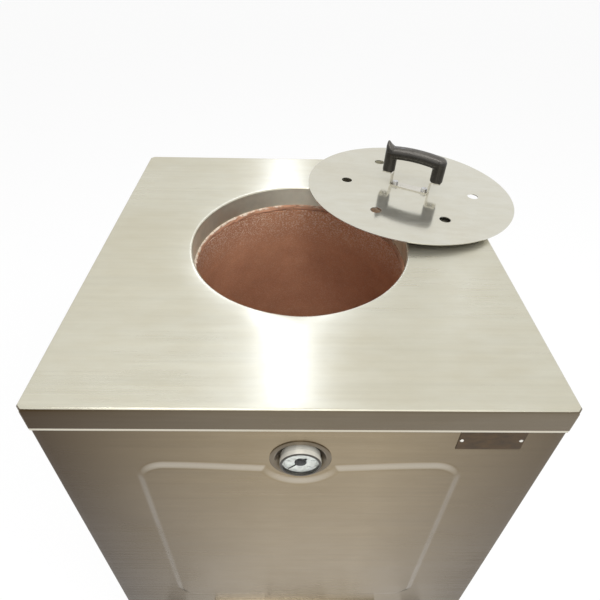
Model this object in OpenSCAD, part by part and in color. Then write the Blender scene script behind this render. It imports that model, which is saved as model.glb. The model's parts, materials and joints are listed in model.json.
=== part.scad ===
// Clay tandoor oven: a square stainless cabinet on casters with a round mouth,
// a clay pot packed in insulation, a loose lid and an ash drawer with a draught slide.
// Millimetres. +Z is up, X runs to the right and Y to the back.
// The origin is on the floor under the middle of the cabinet.

/* [Cabinet] */
// Outer width and depth of the folded top cover
side = 635; // [600:5:770]
// Height of the top surface above the floor
total_height = 870; // [820:5:1050]
// Thickness of the body panels
sheet = 1.2; // [0.8:0.1:2]
// Thickness of the top cover
cover_sheet = 1.5; // [1:0.1:2.5]
// Depth of the flange folded down round the top cover
flange_h = 40; // [25:1:60]
// Outside radius of the cover's folds
fold_r = 2.6; // [2.6:0.1:6]
// Radius of the rolled hem along the flange's lower edge
hem_r = 1.3; // [1:0.1:2]
// Gap between the cover's flange and the body
cover_gap = 0.3; // [0.2:0.1:1]
// Length of the folded laps that close the cover's front corners
corner_lap = 11; // [6:1:20]
// Thickness that the corner laps stand proud
lap_proud = 0.6; // [0.4:0.1:1.5]
// Width of the returns folded round the cabinet's corners
panel_return = 20; // [12:1:24]

/* [Mouth and pot] */
// Diameter of the round mouth
mouth_d = 355.6; // [300:1:400]
// Distance of the mouth's centre behind the cabinet's centre
mouth_back = 12.4; // [0:0.1:30]
// Depth of the collar that lines the mouth
collar_h = 38; // [25:1:60]
// Height of the mortar joint between collar and pot
seal_h = 12; // [8:1:20]
// Largest outside radius of the pot
pot_belly_r = 263; // [240:1:280]
// Height of the pot's widest part above the hearth
pot_belly_h = 200; // [150:5:260]
// Distance that the pot's rim reaches out past the mouth
pot_rim_out = 28.8; // [26:0.1:34]
// Thickness of the pot's wall
pot_wall = 30; // [22:1:40]

/* [Front panel] */
// Width of the shallow raised field in the front panel
field_w = 424; // [300:1:480]
// Distance from the top surface down to the field's upper edge
field_top = 114; // [100:1:140]
// Height of the field's lower edge above the floor
field_bottom = 300; // [270:5:400]
// Corner radius of the field
field_corner_r = 40; // [20:1:60]
// Height that the field stands out
field_rise = 2.4; // [1:0.2:4]
// Width of the field's sloping edge
field_slope = 9; // [3:1:15]

/* [Thermometer] */
// Distance of the thermometer's axis below the top surface
gauge_drop = 103; // [90:1:140]
// Outside diameter of the thermometer case
gauge_d = 52; // [40:1:60]
// Depth of the thermometer case
gauge_depth = 14; // [12:0.5:20]
// Distance that the case stands out of the front panel
gauge_proud = 9.3; // [6:0.1:14]
// Depth from the case's rim to the dial
dial_recess = 5.4; // [4.5:0.1:6.5]
// Outside diameter of the dished plate behind the thermometer
dish_d = 78; // [68:1:90]
// Depth of the dished plate
dish_depth = 9; // [8:0.5:14]
// Clear ring left between the dished plate and the raised field
dish_margin = 5; // [3:1:10]

/* [Nameplate] */
// Width of the bare plate
plate_w = 80; // [60:1:100]
// Height of the bare plate
plate_h = 37; // [25:1:45]
// Distance from the plate's middle to the cabinet's right side
plate_from_side = 88; // [60:1:120]
// Distance from the top surface to the plate's upper edge
plate_drop = 42; // [41:1:60]

/* [Lid] */
// Diameter of the lid
lid_d = 390; // [370:1:440]
// Thickness of the lid
lid_t = 1.5; // [1:0.1:3]
// Diameter of the vent holes
vent_d = 20; // [12:1:28]
// Radius of the circle that the vent holes lie on
vent_circle_r = 121; // [90:1:150]
// Number of vent holes
vent_count = 6; // [4:1:8]
// Distance from the lid's centre to the cover's right edge
lid_from_right = 105.4; // [80:0.1:140]
// Distance from the lid's centre to the cover's back edge
lid_from_back = 139.8; // [100:0.1:160]
// Direction in which the resting lid falls, from X towards Y
lid_fall = 31.7; // [25:0.1:60]

/* [Handle] */
// Direction of the handle on the lid
handle_turn = -26; // [-90:1:90]
// Distance between the legs of the grip
leg_spacing = 92; // [80:1:120]
// Diameter of the legs
leg_d = 23.4; // [18:0.1:23.6]
// Height of the legs' lower ends above the lid
leg_lift = 26; // [20:1:35]
// Diameter of the bar
bar_d = 24; // [20:1:28]
// Height of the bar's middle line above the lid, at its ends
bar_height = 63; // [55:1:80]
// Rise of the bar's arch
bar_arch = 4; // [2:0.5:8]
// Half the bar's height, where its top and bottom are flattened
bar_flat = 10.6; // [9:0.1:11.5]
// Height of the pointed thumb rest's tip above the lid
spur_height = 84; // [80:1:100]
// Width of the steel bracket under the grip
strap_w = 18; // [14:1:24]
// Thickness of the bracket
strap_t = 2; // [1.5:0.1:3]
// Distance between the two bracket bolts
bolt_spacing = 57; // [40:1:60]

/* [Ash drawer] */
// Outside width of the ash tray
tray_w = 278; // [200:1:300]
// Height of the ash tray
tray_h = 76; // [60:1:76]
// Length of the ash tray
tray_l = 400; // [300:5:430]
// Thickness of the drawer's front
drawer_front_t = 12; // [8:1:20]
// Distance that the drawer's front overlaps the tray at each side
drawer_overlap = 17; // [12:1:25]
// Diameter of the draught holes
draught_d = 22; // [14:1:24]
// Distance between the draught holes
draught_pitch = 50; // [48:1:54]
// Distance between the ends of the drawer's pull
pull_spacing = 110; // [80:1:140]
// Distance that the pull stands out
pull_reach = 32; // [25:1:45]
// Diameter of the pull's rod
pull_d = 10; // [8:0.5:12]

/* [Base and casters] */
// Height of the angle frame under the cabinet
frame_h = 30; // [25:1:32]
// Thickness of the angle frame
frame_t = 4; // [3:0.5:4]
// Size of the corner plates that carry the casters
gusset = 110; // [105:1:130]
// Thickness of the hearth slab
slab_t = 40; // [30:1:50]
// Height from the floor to the top of the caster plates
caster_h = 106; // [106:1:110]
// Diameter of the wheels
wheel_d = 80; // [76:1:80]
// Width of the tyres
wheel_w = 28; // [24:1:30]
// Distance from the swivel axis to the wheel's axle
caster_trail = 26; // [24:1:30]
// Distance from the cabinet's outside to the swivel axis
caster_inset = 58.7; // [56:0.1:70]

/* [Hidden] */
$fn = 96;

steel = [0.78, 0.77, 0.74];
dark_steel = [0.45, 0.45, 0.46];
clay = [0.52, 0.33, 0.25];
mortar = [0.80, 0.74, 0.62];
black = [0.06, 0.06, 0.06];

seat = 0.3;        // gap left where one piece rests on another
running = 0.05;    // gap round a shaft in its bore
eps = 1;           // how far a cut runs past the face that it opens

// cabinet
top_z = total_height;
cover_half = side / 2;
mouth_r = mouth_d / 2;
body_half = cover_half - cover_sheet - cover_gap;
inner_half = body_half - sheet;
frame_half = inner_half - seat;
panel_z0 = caster_h + frame_t;
panel_h = top_z - cover_sheet - 2 * seat - panel_z0;
seam = 0.5;
post_leg = 30;
post_t = 3;
posts_inside = frame_half - post_t;
heel_r = 2.5;
skin_rivet_r = 1.8;
skin_rivet_edge = 7;
skin_rivet_low = 30;
skin_rivet_high = 25;
skin_rivet_l = sheet + seat + post_t;
hem_sink = 0.15;
hem_at = cover_half - cover_sheet + hem_sink + hem_r;
lap_from = fold_r + 1;
lap_to = flange_h - 2 * hem_r - 0.5;
frame_top = caster_h + frame_h;

// drawer, hearth and pot, from the frame upwards
tunnel_t = 1.5;
tunnel_z0 = frame_top + seat;
runner_t = 3;
runner_w = 10;
tray_z0 = tunnel_z0 + tunnel_t + runner_t + seat;
tray_t = 1.2;
drawer_gap = 3;
drawer_gap_low = 2;
tunnel_room = 16;
tunnel_in_h = runner_t + seat + tray_h + tunnel_room;
tunnel_w = tray_w + 12;
tunnel_l = 448;
runner_inset = 14;
runner_y0 = -inner_half + 4;
runner_l = tunnel_l - 20;
tunnel_top = tunnel_z0 + 2 * tunnel_t + tunnel_in_h;
slab_z0 = tunnel_top + seat;
hearth_z = slab_z0 + slab_t;
throat_r = 60;
grate_r = 75;
grate_t = 12;
bearer = 40;
bearer_t = 4;
pot_top = top_z - collar_h - seal_h;
belly_z = hearth_z + pot_belly_h;
pot_narrowing = pot_belly_r - mouth_r - pot_rim_out;
pot_curve_r = (pow(pot_narrowing, 2) + pow(pot_top - belly_z, 2)) / (2 * pot_narrowing);
collar_foot = 20;
seal_w = 24;
seal_lap = 1;
wool_half = posts_inside - seat;

// thermometer, whose axis runs along Y
gauge_z = top_z - gauge_drop;
gauge_r = gauge_d / 2;
panel_y = -body_half;
gauge_front_y = panel_y - gauge_proud;
gauge_back_y = gauge_front_y + gauge_depth;
dial_t = 0.8;
dial_y = gauge_front_y + dial_recess;
dial_r = gauge_r - 1.8;
rim_wall = 1.6;
bezel_h = 6.5;
bezel_step = 0.8;
bezel_round = 1;
bezel_lip = 1.2;
glass_inset = 0.8;
glass_t = 1.4;
pointer_hub_r = 7.5;
pointer_t = 1.6;
pointer_rest = 225;
pointer_pin_r = 1;
stem_r = 3;
stem_hole_r = 3.6;
neck_r = 5;
neck_l = 9;
dish_r = dish_d / 2;
dish_sheet = 1.2;
dish_land = 0.6;
dish_hole_r = dish_r - 5;
dish_bend_r = dish_hole_r - 1.5;
dish_floor_r = gauge_r - 2;
dish_floor_y = panel_y + dish_depth;
gauge_nut_r = 9.8;
pot_inner_at_gauge = pot_belly_r - pot_curve_r
    + sqrt(pow(pot_curve_r - pot_wall, 2) - pow(gauge_z - belly_z, 2));
stem_tip_y = mouth_back - pot_inner_at_gauge + 8;

// nameplate
plate_t = 0.8;
plate_x = cover_half - plate_from_side;
plate_z = top_z - plate_drop - plate_h / 2;
plate_rivet_x = plate_w / 2 - 4;
rivet_r = 1.55;

// lid, which leans from the cover's back right corner onto its handle nuts
m6_r = 3;
m6_head_r = 5.77;
m6_head_h = 4;
m6_nut_h = 5;
washer_r = 6;
washer_t = 1.2;
thread_end = 1.3;
seat_gap = 0.25;
corner_gap = 0.2;
nut_stack = washer_t + m6_nut_h + thread_end;
corner_reach = lid_from_right * cos(lid_fall) + lid_from_back * sin(lid_fall);
nut_reach = abs(bolt_spacing / 2 * cos(lid_fall - handle_turn)) + m6_r;
lid_slope = (nut_stack + seat_gap - corner_gap) / (corner_reach - nut_reach);
lid_tilt = atan(lid_slope);
lid_x = cover_half - lid_from_right;
lid_y = cover_half - lid_from_back;
lid_z = top_z + lid_t + nut_stack + seat_gap + nut_reach * lid_slope;
vent_start = -10;

// handle, drawn along X about the lid's centre and standing on its top face
leg_x = leg_spacing / 2;
leg_r = leg_d / 2;
bar_r = bar_d / 2;
strap_bend = 3;
upright_x = leg_x - 8;
ear_x = leg_x + 10;
bar_curve_r = (leg_x * leg_x + bar_arch * bar_arch) / (2 * bar_arch);
bar_half_angle = asin(leg_x / bar_curve_r);
grip_screw_r = 2.4;
grip_screw_l = 20;
grip_head_r = 4.5;
grip_head_h = 3;
spur_x = -leg_x - leg_r;
spur_tip_w = 3;
spur_hollow_r = 15;

// ash drawer's front
drawer_front_w = tray_w + 2 * drawer_overlap;
drawer_front_z0 = tray_z0 - 13;
drawer_front_h = tray_h + 35;
drawer_front_r = 3;
drawer_back_y = panel_y - seat;
drawer_face_y = drawer_back_y - drawer_front_t;
draught_z = drawer_front_z0 + 30;
draught_count = 5;
damper_travel = draught_pitch / 2;
damper_h = draught_d + 12;
damper_t = 1.5;
damper_gap = 0.25;
damper_x0 = -(draught_count - 1) / 2 * draught_pitch - damper_travel - draught_d / 2 - 6;
damper_x1 = (draught_count - 1) / 2 * draught_pitch + 15;
damper_knob_x = damper_x1 - 12;
knob_r = 8;
knob_l = 12;
knob_neck_r = 5;
knob_neck_l = 5;
knob_dome_r = 20;
guide_w = 6;
guide_lip = 3;
pull_z = drawer_front_z0 + drawer_front_h - 32;
pull_bend = 14;

// casters
caster_at = body_half - caster_inset;
caster_plate_t = 3;
caster_plate_w = 100;
caster_plate_l = 82;
caster_plate_r = 8;
caster_bolt_x = 40;
caster_bolt_y = 30;
m8_r = 4;
m8_hole_r = 4.3;
m8_head_r = 7.5;
m8_head_h = 5.3;
m8_nut_h = 6.5;
race_h = 6;
race_r = 27;
race_edge = 1.2;
race_groove = 2;
kingpin_r = 6;
kingpin_head_r = 9;
kingpin_head_h = 4;
fork_t = 3;
fork_top_t = 4;
fork_in = wheel_w / 2 + 3;
fork_top_z = caster_h - caster_plate_t - race_h - seat;
fork_half_w = fork_in + fork_t;
fork_half_l = 24;
fork_end_r = 13;
wheel_r = wheel_d / 2;
hub_half = fork_in - seat;
tyre_in_r = wheel_r - 8;
brake_y = -caster_trail - 24;
brake_z = wheel_r + 44;
brake_pin_r = 3;
brake_turn = 18;
brake_lobe_r = 4;
pedal_l = 46;
pedal_t = 3;
pedal_low = 5;
pedal_slope = 20;
tread_l = 18;
tread_out = 6;
tread_r = 5;
brake_reach = norm([brake_y + caster_trail, brake_z - wheel_r]) - wheel_r - 0.6;
brake_aim = atan2(wheel_r - brake_z, -caster_trail - brake_y);

// ---- shapes that several pieces share ----

// Rectangle with rounded corners, centred on the origin
module rounded_rect(w, h, r) {
    square([w - 2 * r, h], center = true);
    square([w, h - 2 * r], center = true);
    for (sx = [-1, 1], sy = [-1, 1])
        translate([sx * (w / 2 - r), sy * (h / 2 - r)]) circle(r);
}

// End view of a folded tray: flat top at y = 0 with two rounded upper corners
module fold_profile(half, h, r) {
    translate([-half, -h]) square([2 * half, h - r]);
    translate([-half + r, -r - 0.01]) square([2 * (half - r), r + 0.01]);
    for (sx = [-1, 1]) translate([sx * (half - r), -r]) circle(r, $fn = 48);
}

// Solid tray with folded edges on all four sides, its top face at z = 0
module folded_block(half, h, r) {
    intersection() {
        rotate([90, 0, 0])
            linear_extrude(2 * half, center = true) fold_profile(half, h, r);
        rotate([90, 0, 90])
            linear_extrude(2 * half, center = true) fold_profile(half, h, r);
    }
}

// A cylinder along Y, from y0 to y1, on the thermometer's axis
module gauge_disc(r, y0, y1) {
    translate([0, y1, gauge_z]) rotate([90, 0, 0]) cylinder(r = r, h = y1 - y0);
}

// A cylinder along Y, from y0 to y1
module disc_y(r, x, z, y0, y1) {
    translate([x, y1, z]) rotate([90, 0, 0]) cylinder(r = r, h = y1 - y0);
}

// A cylinder along X, from x0 to x1
module disc_x(r, y, z, x0, x1) {
    translate([x0, y, z]) rotate([0, 90, 0]) cylinder(r = r, h = x1 - x0);
}

// Domed rivet head with its shank, standing along +Z on z = 0
module rivet(head_r, head_h, shank_r, shank_l) {
    dome_r = (head_r * head_r + head_h * head_h) / (2 * head_h);
    intersection() {
        translate([0, 0, head_h - dome_r]) sphere(dome_r, $fn = 48);
        cylinder(r = head_r + 1, h = head_h + 1);
    }
    translate([0, 0, -shank_l]) cylinder(r = shank_r, h = shank_l + 0.2);
}

// One L-shaped bar along +Z with its outer corner at the origin and a rounded heel
module angle_bar(leg, t, l) {
    linear_extrude(l) {
        translate([heel_r, 0]) square([leg - heel_r, t]);
        translate([0, heel_r]) square([t, leg - heel_r]);
        intersection() {
            translate([heel_r, heel_r]) circle(heel_r, $fn = 48);
            square(t);
        }
    }
}

// Everything inside goes to each of the four corners, turned to face outwards
module at_corners() {
    for (sx = [0, 1], sy = [0, 1])
        mirror([sx, 0, 0]) mirror([0, sy, 0]) children();
}

// ---- cabinet ----

module top_cover() {
    color(steel) difference() {
        union() {
            translate([0, 0, top_z]) difference() {
                folded_block(cover_half, flange_h, fold_r);
                translate([0, 0, -cover_sheet])
                    folded_block(cover_half - cover_sheet, flange_h, fold_r - cover_sheet);
            }
            flange_hem();
            for (sx = [-1, 1])
                translate([sx * (cover_half - fold_r - corner_lap / 2),
                           -cover_half - lap_proud / 2 + 0.2, top_z - (lap_from + lap_to) / 2])
                    cube([corner_lap, lap_proud + 0.4, lap_to - lap_from], center = true);
        }
        translate([0, mouth_back, top_z - cover_sheet - eps])
            cylinder(r = mouth_r + sheet, h = cover_sheet + 2 * eps);
    }
}

// Rolled hem, mitred at the corners
module flange_hem() {
    translate([0, 0, top_z - flange_h + hem_r - hem_sink])
        for (a = [0 : 90 : 270]) rotate([0, 0, a]) intersection() {
            translate([hem_at, side, 0]) rotate([90, 0, 0]) cylinder(r = hem_r, h = 2 * side, $fn = 32);
            linear_extrude(4 * hem_r, center = true) polygon([[0, 0], [side, -side], [side, side]]);
        }
}

// Collar with a foot on the mortar and a rounded upper edge
module mouth_collar() {
    color(steel) translate([0, mouth_back, top_z - collar_h]) rotate_extrude() {
        translate([mouth_r, 0]) square([sheet, collar_h - sheet]);
        translate([mouth_r, 0]) square([collar_foot, sheet]);
        translate([mouth_r + sheet, collar_h - sheet]) intersection() {
            circle(sheet, $fn = 48);
            translate([-sheet, 0]) square(sheet);
        }
    }
}

module collar_seal() {
    bead = seal_h / 2;
    color(mortar) translate([0, mouth_back, pot_top])
        rotate_extrude() {
            translate([mouth_r - seal_lap, 0]) square([seal_w, seal_h]);
            translate([mouth_r - seal_lap, bead]) circle(bead, $fn = 48);
        }
}

// Half section of the pot's outside, or of its hollow when inset by the wall
module pot_section(inset) {
    intersection() {
        translate([pot_belly_r - pot_curve_r, belly_z]) circle(pot_curve_r - inset, $fn = 360);
        translate([0, hearth_z - eps]) square([pot_belly_r + eps, pot_top - hearth_z + 2 * eps]);
    }
}

module pot_solid(inset) {
    translate([0, mouth_back, 0]) rotate_extrude() pot_section(inset);
}

module clay_pot() {
    color(clay) difference() {
        intersection() {
            pot_solid(0);
            translate([0, 0, hearth_z])
                linear_extrude(pot_top - hearth_z) square(2 * side, center = true);
        }
        pot_solid(pot_wall);
        gauge_disc(stem_hole_r, -side / 2, mouth_back - pot_wall);
    }
}

module insulation_fill() {
    color([0.85, 0.82, 0.6]) difference() {
        translate([-wool_half, -wool_half, hearth_z])
            cube([2 * wool_half, 2 * wool_half, top_z - cover_sheet - seat - hearth_z]);
        translate([0, mouth_back, 0]) rotate_extrude()
            intersection() {
                translate([pot_belly_r - pot_curve_r, belly_z])
                    circle(pot_curve_r + seat, $fn = 360);
                translate([0, hearth_z - eps]) square([side, pot_top - hearth_z + eps]);
            }
        translate([0, mouth_back, pot_top - eps]) cylinder(r = mouth_r + seal_w + 3, h = side);
        gauge_disc(dish_r, -side, dish_floor_y + dish_sheet + seat);
        gauge_disc(gauge_nut_r + 1, -side, dish_floor_y + dish_sheet + neck_l + 1);
        gauge_disc(stem_hole_r, -side, mouth_back - pot_wall);
    }
}

module hearth_slab() {
    color([0.72, 0.66, 0.58]) difference() {
        translate([-wool_half, -wool_half, slab_z0]) cube([2 * wool_half, 2 * wool_half, slab_t]);
        translate([0, mouth_back, slab_z0 - eps]) cylinder(r = throat_r, h = slab_t + 2 * eps);
        translate([0, mouth_back, hearth_z - grate_t]) cylinder(r = grate_r + 1, h = grate_t + eps);
    }
}

module charcoal_grate() {
    slots = 7;
    slot_w = 7;
    pitch = 15;
    ring = 4;
    color([0.16, 0.15, 0.15]) translate([0, mouth_back, hearth_z - grate_t]) difference() {
        translate([0, 0, seat]) cylinder(r = grate_r, h = grate_t - seat);
        for (i = [0 : slots - 1]) {
            x = (i - (slots - 1) / 2) * pitch;
            half_l = sqrt(pow(throat_r - ring, 2) - x * x);
            translate([x, 0, grate_t / 2])
                cube([slot_w, 2 * half_l, 2 * grate_t], center = true);
        }
    }
}

module slab_bearers() {
    color(dark_steel) for (s = [0, 1]) mirror([s, 0, 0])
        translate([posts_inside - seat, wool_half, slab_z0 - seat])
            rotate([90, 0, 0]) rotate([0, 0, 180])
                angle_bar(bearer, bearer_t, 2 * wool_half);
}

module ash_tunnel() {
    out_w = tunnel_w + 2 * tunnel_t;
    out_h = tunnel_in_h + 2 * tunnel_t;
    y0 = -inner_half + seat;
    color(steel) difference() {
        translate([-out_w / 2, y0, tunnel_z0]) cube([out_w, tunnel_l, out_h]);
        translate([-tunnel_w / 2, y0 - eps, tunnel_z0 + tunnel_t])
            cube([tunnel_w, tunnel_l - tunnel_t + eps, tunnel_in_h]);
        translate([0, mouth_back, tunnel_z0 + out_h / 2]) cylinder(r = throat_r, h = out_h);
    }
}

module drawer_runners() {
    color(dark_steel) for (sx = [-1, 1])
        translate([sx * (tray_w / 2 - runner_inset) - runner_w / 2, runner_y0, tunnel_z0 + tunnel_t])
            cube([runner_w, runner_l, runner_t]);
}

// Plan of the cabinet's skin
module skin_plan() {
    difference() {
        rounded_rect(2 * body_half, 2 * body_half, fold_r);
        rounded_rect(2 * inner_half, 2 * inner_half, fold_r - sheet);
    }
}

// The part of the skin that lies inside a rectangle of the plan
module skin_panel(x0, y0, x1, y1) {
    translate([0, 0, panel_z0]) linear_extrude(panel_h)
        intersection() {
            skin_plan();
            translate([x0, y0]) square([x1 - x0, y1 - y0]);
        }
}

// Shallow field with sloping edges, on the front panel's outside
module raised_field() {
    z0 = field_bottom;
    z1 = top_z - field_top;
    r = field_corner_r;
    difference() {
        hull() for (sx = [-1, 1], z = [z0 + r, z1 - r]) {
            x = sx * (field_w / 2 - r);
            disc_y(r, x, z, panel_y, panel_y + sheet / 2, $fn = 48);
            disc_y(r - field_slope, x, z, panel_y - field_rise, panel_y, $fn = 48);
        }
        translate([0, panel_y + sheet, gauge_z]) rotate([90, 0, 0])
            cylinder(r1 = dish_r + dish_margin - field_slope * sheet / field_rise,
                     r2 = dish_r + dish_margin + field_slope + field_slope / field_rise,
                     h = field_rise + sheet + 1);
    }
}

module front_panel() {
    open_w = tray_w + 2 * drawer_gap;
    open_z0 = tray_z0 - drawer_gap_low;
    open_h = tray_h + drawer_gap_low + drawer_gap;
    color(steel) difference() {
        union() {
            skin_panel(-side, -side, side, -body_half + panel_return);
            raised_field();
        }
        translate([0, sheet, 0]) raised_field();
        gauge_disc(dish_hole_r, -side, -body_half + 5);
        translate([-open_w / 2, -side, open_z0]) cube([open_w, side, open_h]);
        for (sx = [-1, 1])
            disc_y(rivet_r + running, plate_x + sx * plate_rivet_x, plate_z, -side, -side / 2 + 8);
        skin_rivet_holes();
    }
}

module left_panel() {
    edge = body_half - panel_return - seam;
    color(steel) difference() {
        skin_panel(-side, -edge, -side / 4, edge);
        skin_rivet_holes();
    }
}

module right_panel() {
    color(steel) mirror([1, 0, 0]) left_panel();
}

module rear_panel() {
    color(steel) difference() {
        skin_panel(-side, body_half - panel_return, side, side);
        skin_rivet_holes();
    }
}

// Places on the right side, facing outwards, where rivets hold the skin to a corner post
module skin_rivet_places() {
    rows = 4;
    z0 = frame_top + skin_rivet_low;
    z1 = top_z - flange_h - skin_rivet_high;
    at_corners()
        for (i = [0 : rows - 1], y = [panel_return - skin_rivet_edge, panel_return + seam + skin_rivet_edge])
            translate([body_half, body_half - y, z0 + i * (z1 - z0) / (rows - 1)])
                rotate([0, 90, 0]) children();
}

module skin_rivet_holes() {
    skin_rivet_places() translate([0, 0, -skin_rivet_l - eps])
        cylinder(r = skin_rivet_r + running, h = skin_rivet_l + 2 * eps, $fn = 32);
}

module panel_rivets() {
    color(steel) skin_rivet_places() rivet(3.2, 1.3, skin_rivet_r, skin_rivet_l);
}

module base_pan() {
    half = frame_half - frame_t - seat;
    cut = frame_half - gusset - 1;
    color(steel) translate([0, 0, caster_h + frame_t]) linear_extrude(sheet)
        union() {
            square([2 * half, 2 * cut], center = true);
            square([2 * cut, 2 * half], center = true);
        }
}

module base_frame() {
    color(dark_steel) difference() {
        translate([0, 0, caster_h]) linear_extrude(frame_h)
            rounded_rect(2 * frame_half, 2 * frame_half, heel_r);
        translate([-frame_half + frame_t, -frame_half + frame_t, caster_h + frame_t])
            cube([2 * (frame_half - frame_t), 2 * (frame_half - frame_t), frame_h]);
        translate([0, 0, caster_h - eps]) linear_extrude(frame_t + 2 * eps) {
            square([2 * (frame_half - frame_h), 2 * (frame_half - gusset)], center = true);
            square([2 * (frame_half - gusset), 2 * (frame_half - frame_h)], center = true);
        }
        caster_holes(frame_t);
    }
}

module corner_posts() {
    color(dark_steel) difference() {
        at_corners() translate([frame_half, frame_half, frame_top])
            rotate([0, 0, 180]) angle_bar(post_leg, post_t, top_z - cover_sheet - frame_top);
        skin_rivet_holes();
    }
}

// ---- thermometer ----

// Dished plate with a raised, rounded rim that lies on the front panel
module gauge_flange() {
    hole_r = neck_r + running;
    color(steel) translate([0, panel_y, gauge_z]) rotate([90, 0, 0]) rotate_extrude()
        polygon([[hole_r, -dish_depth], [dish_floor_r, -dish_depth],
                 [dish_bend_r, dish_sheet], [dish_bend_r + 1.6, dish_sheet + dish_land],
                 [dish_r - 1, dish_sheet + dish_land], [dish_r, dish_sheet - 0.2], [dish_r, 0],
                 [dish_bend_r, 0], [dish_floor_r - 0.3, -dish_depth - dish_sheet],
                 [hole_r, -dish_depth - dish_sheet]]);
}

module gauge_nuts() {
    color(steel) difference() {
        union() {
            translate([0, dish_floor_y, gauge_z]) rotate([90, 0, 0])
                cylinder(r = gauge_nut_r, h = dish_floor_y - gauge_back_y, $fn = 6);
            translate([0, dish_floor_y + dish_sheet + 5, gauge_z]) rotate([90, 0, 0])
                cylinder(r = gauge_nut_r, h = 5, $fn = 6);
        }
        gauge_disc(neck_r + running, -side, 0);
    }
}

// Case with a wider rounded bezel, whose lip holds the glass
module gauge_case() {
    floor_at = dial_recess + dial_t;
    lip_h = glass_inset - 0.2;
    color(steel) translate([0, gauge_front_y, gauge_z]) rotate([-90, 0, 0]) difference() {
        rotate_extrude() difference() {
            union() {
                square([gauge_r - bezel_step, gauge_depth]);
                square([gauge_r - bezel_round, bezel_h]);
                translate([0, bezel_round]) square([gauge_r, bezel_h - bezel_round]);
                translate([gauge_r - bezel_round, bezel_round]) circle(bezel_round, $fn = 48);
            }
            translate([-eps, -eps]) square([dial_r - bezel_lip + eps, floor_at + eps]);
            translate([-eps, lip_h]) square([gauge_r - rim_wall + eps, floor_at - lip_h]);
        }
        cylinder(r = pointer_pin_r + 0.5, h = floor_at + 4);
    }
}

module gauge_dial() {
    color([0.85, 0.86, 0.84]) difference() {
        gauge_disc(dial_r, dial_y, dial_y + dial_t);
        gauge_disc(pointer_pin_r + running, dial_y - eps, dial_y + dial_t + eps);
    }
}

module gauge_glass() {
    color([0.8, 0.9, 0.95, 0.3])
        gauge_disc(dial_r, gauge_front_y + glass_inset, gauge_front_y + glass_inset + glass_t);
}

module gauge_stem() {
    color(steel) {
        gauge_disc(neck_r, gauge_back_y, dish_floor_y + dish_sheet + neck_l);
        gauge_disc(stem_r, dish_floor_y, stem_tip_y);
    }
}

module gauge_pointer() {
    y1 = dial_y - seat;
    hand_l = dial_r - 5;
    color(black) {
        gauge_disc(pointer_hub_r, y1 - pointer_t, y1);
        gauge_disc(pointer_pin_r, y1 - 0.2, dial_y + dial_t + 3);
        translate([0, y1 - 0.4, gauge_z]) rotate([90, 0, 0]) linear_extrude(0.8)
            rotate(pointer_rest)
                polygon([[0, -1.1], [hand_l, -0.4], [hand_l, 0.4], [0, 1.1], [-10, 1.6], [-10, -1.6]]);
    }
}

// ---- nameplate ----

module nameplate() {
    color([0.6, 0.56, 0.48]) difference() {
        translate([plate_x - plate_w / 2, panel_y - plate_t, plate_z - plate_h / 2])
            cube([plate_w, plate_t, plate_h]);
        for (sx = [-1, 1])
            disc_y(rivet_r + running, plate_x + sx * plate_rivet_x, plate_z,
                   panel_y - plate_t - eps, panel_y + eps);
    }
}

module nameplate_rivets() {
    color(steel) for (sx = [-1, 1])
        translate([plate_x + sx * plate_rivet_x, panel_y - plate_t, plate_z])
            rotate([90, 0, 0]) rivet(2.4, 1.1, rivet_r, plate_t + sheet);
}

// ---- lid ----

// Puts what is drawn about the lid's centre, with its top face at z = 0, where the lid rests
module on_lid() {
    translate([lid_x, lid_y, lid_z])
        rotate([0, 0, lid_fall]) rotate([0, lid_tilt, 0]) rotate([0, 0, -lid_fall]) children();
}

module on_handle() {
    on_lid() rotate([0, 0, handle_turn]) children();
}

module lid_plate() {
    color(steel) difference() {
        on_lid() translate([0, 0, -lid_t]) cylinder(r = lid_d / 2, h = lid_t);
        on_lid() for (i = [0 : vent_count - 1])
            rotate([0, 0, vent_start + i * 360 / vent_count])
                translate([vent_circle_r, 0, -lid_t - eps])
                    cylinder(r = vent_d / 2, h = lid_t + 2 * eps, $fn = 48);
        on_handle() bolt_holes(-lid_t - eps, eps);
    }
}

module bolt_holes(z0, z1) {
    for (sx = [-1, 1]) translate([sx * bolt_spacing / 2, 0, z0])
        cylinder(r = m6_r + running, h = z1 - z0, $fn = 48);
}

// One quarter of a bend, from the direction of -X to that of -Y
module bend(r_in, t) {
    intersection() {
        difference() {
            circle(r_in + t, $fn = 48);
            circle(r_in, $fn = 48);
        }
        translate([-r_in - t, -r_in - t]) square(r_in + t);
    }
}

// Side view of half the bracket: foot on the lid, upright, and ear under the leg
module strap_half() {
    r = strap_bend;
    t = strap_t;
    x1 = upright_x;
    square([x1 - r - t, t]);
    translate([x1 - r - t, r + t]) mirror([1, 0]) bend(r, t);
    translate([x1 - t, r + t]) square([t, leg_lift - 2 * r - 2 * t]);
    translate([x1 + r, leg_lift - r - t]) mirror([0, 1]) bend(r, t);
    translate([x1 + r, leg_lift - t]) square([ear_x - x1 - r, t]);
}

module handle_bracket() {
    color(steel) difference() {
        on_handle() rotate([90, 0, 0]) linear_extrude(strap_w, center = true) {
            strap_half();
            mirror([1, 0]) strap_half();
        }
        on_handle() bolt_holes(-eps, strap_t + eps);
        on_handle() for (sx = [-1, 1]) translate([sx * leg_x, 0, leg_lift - strap_t - eps])
            cylinder(r = grip_screw_r + running, h = strap_t + 2 * eps, $fn = 48);
    }
}

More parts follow.
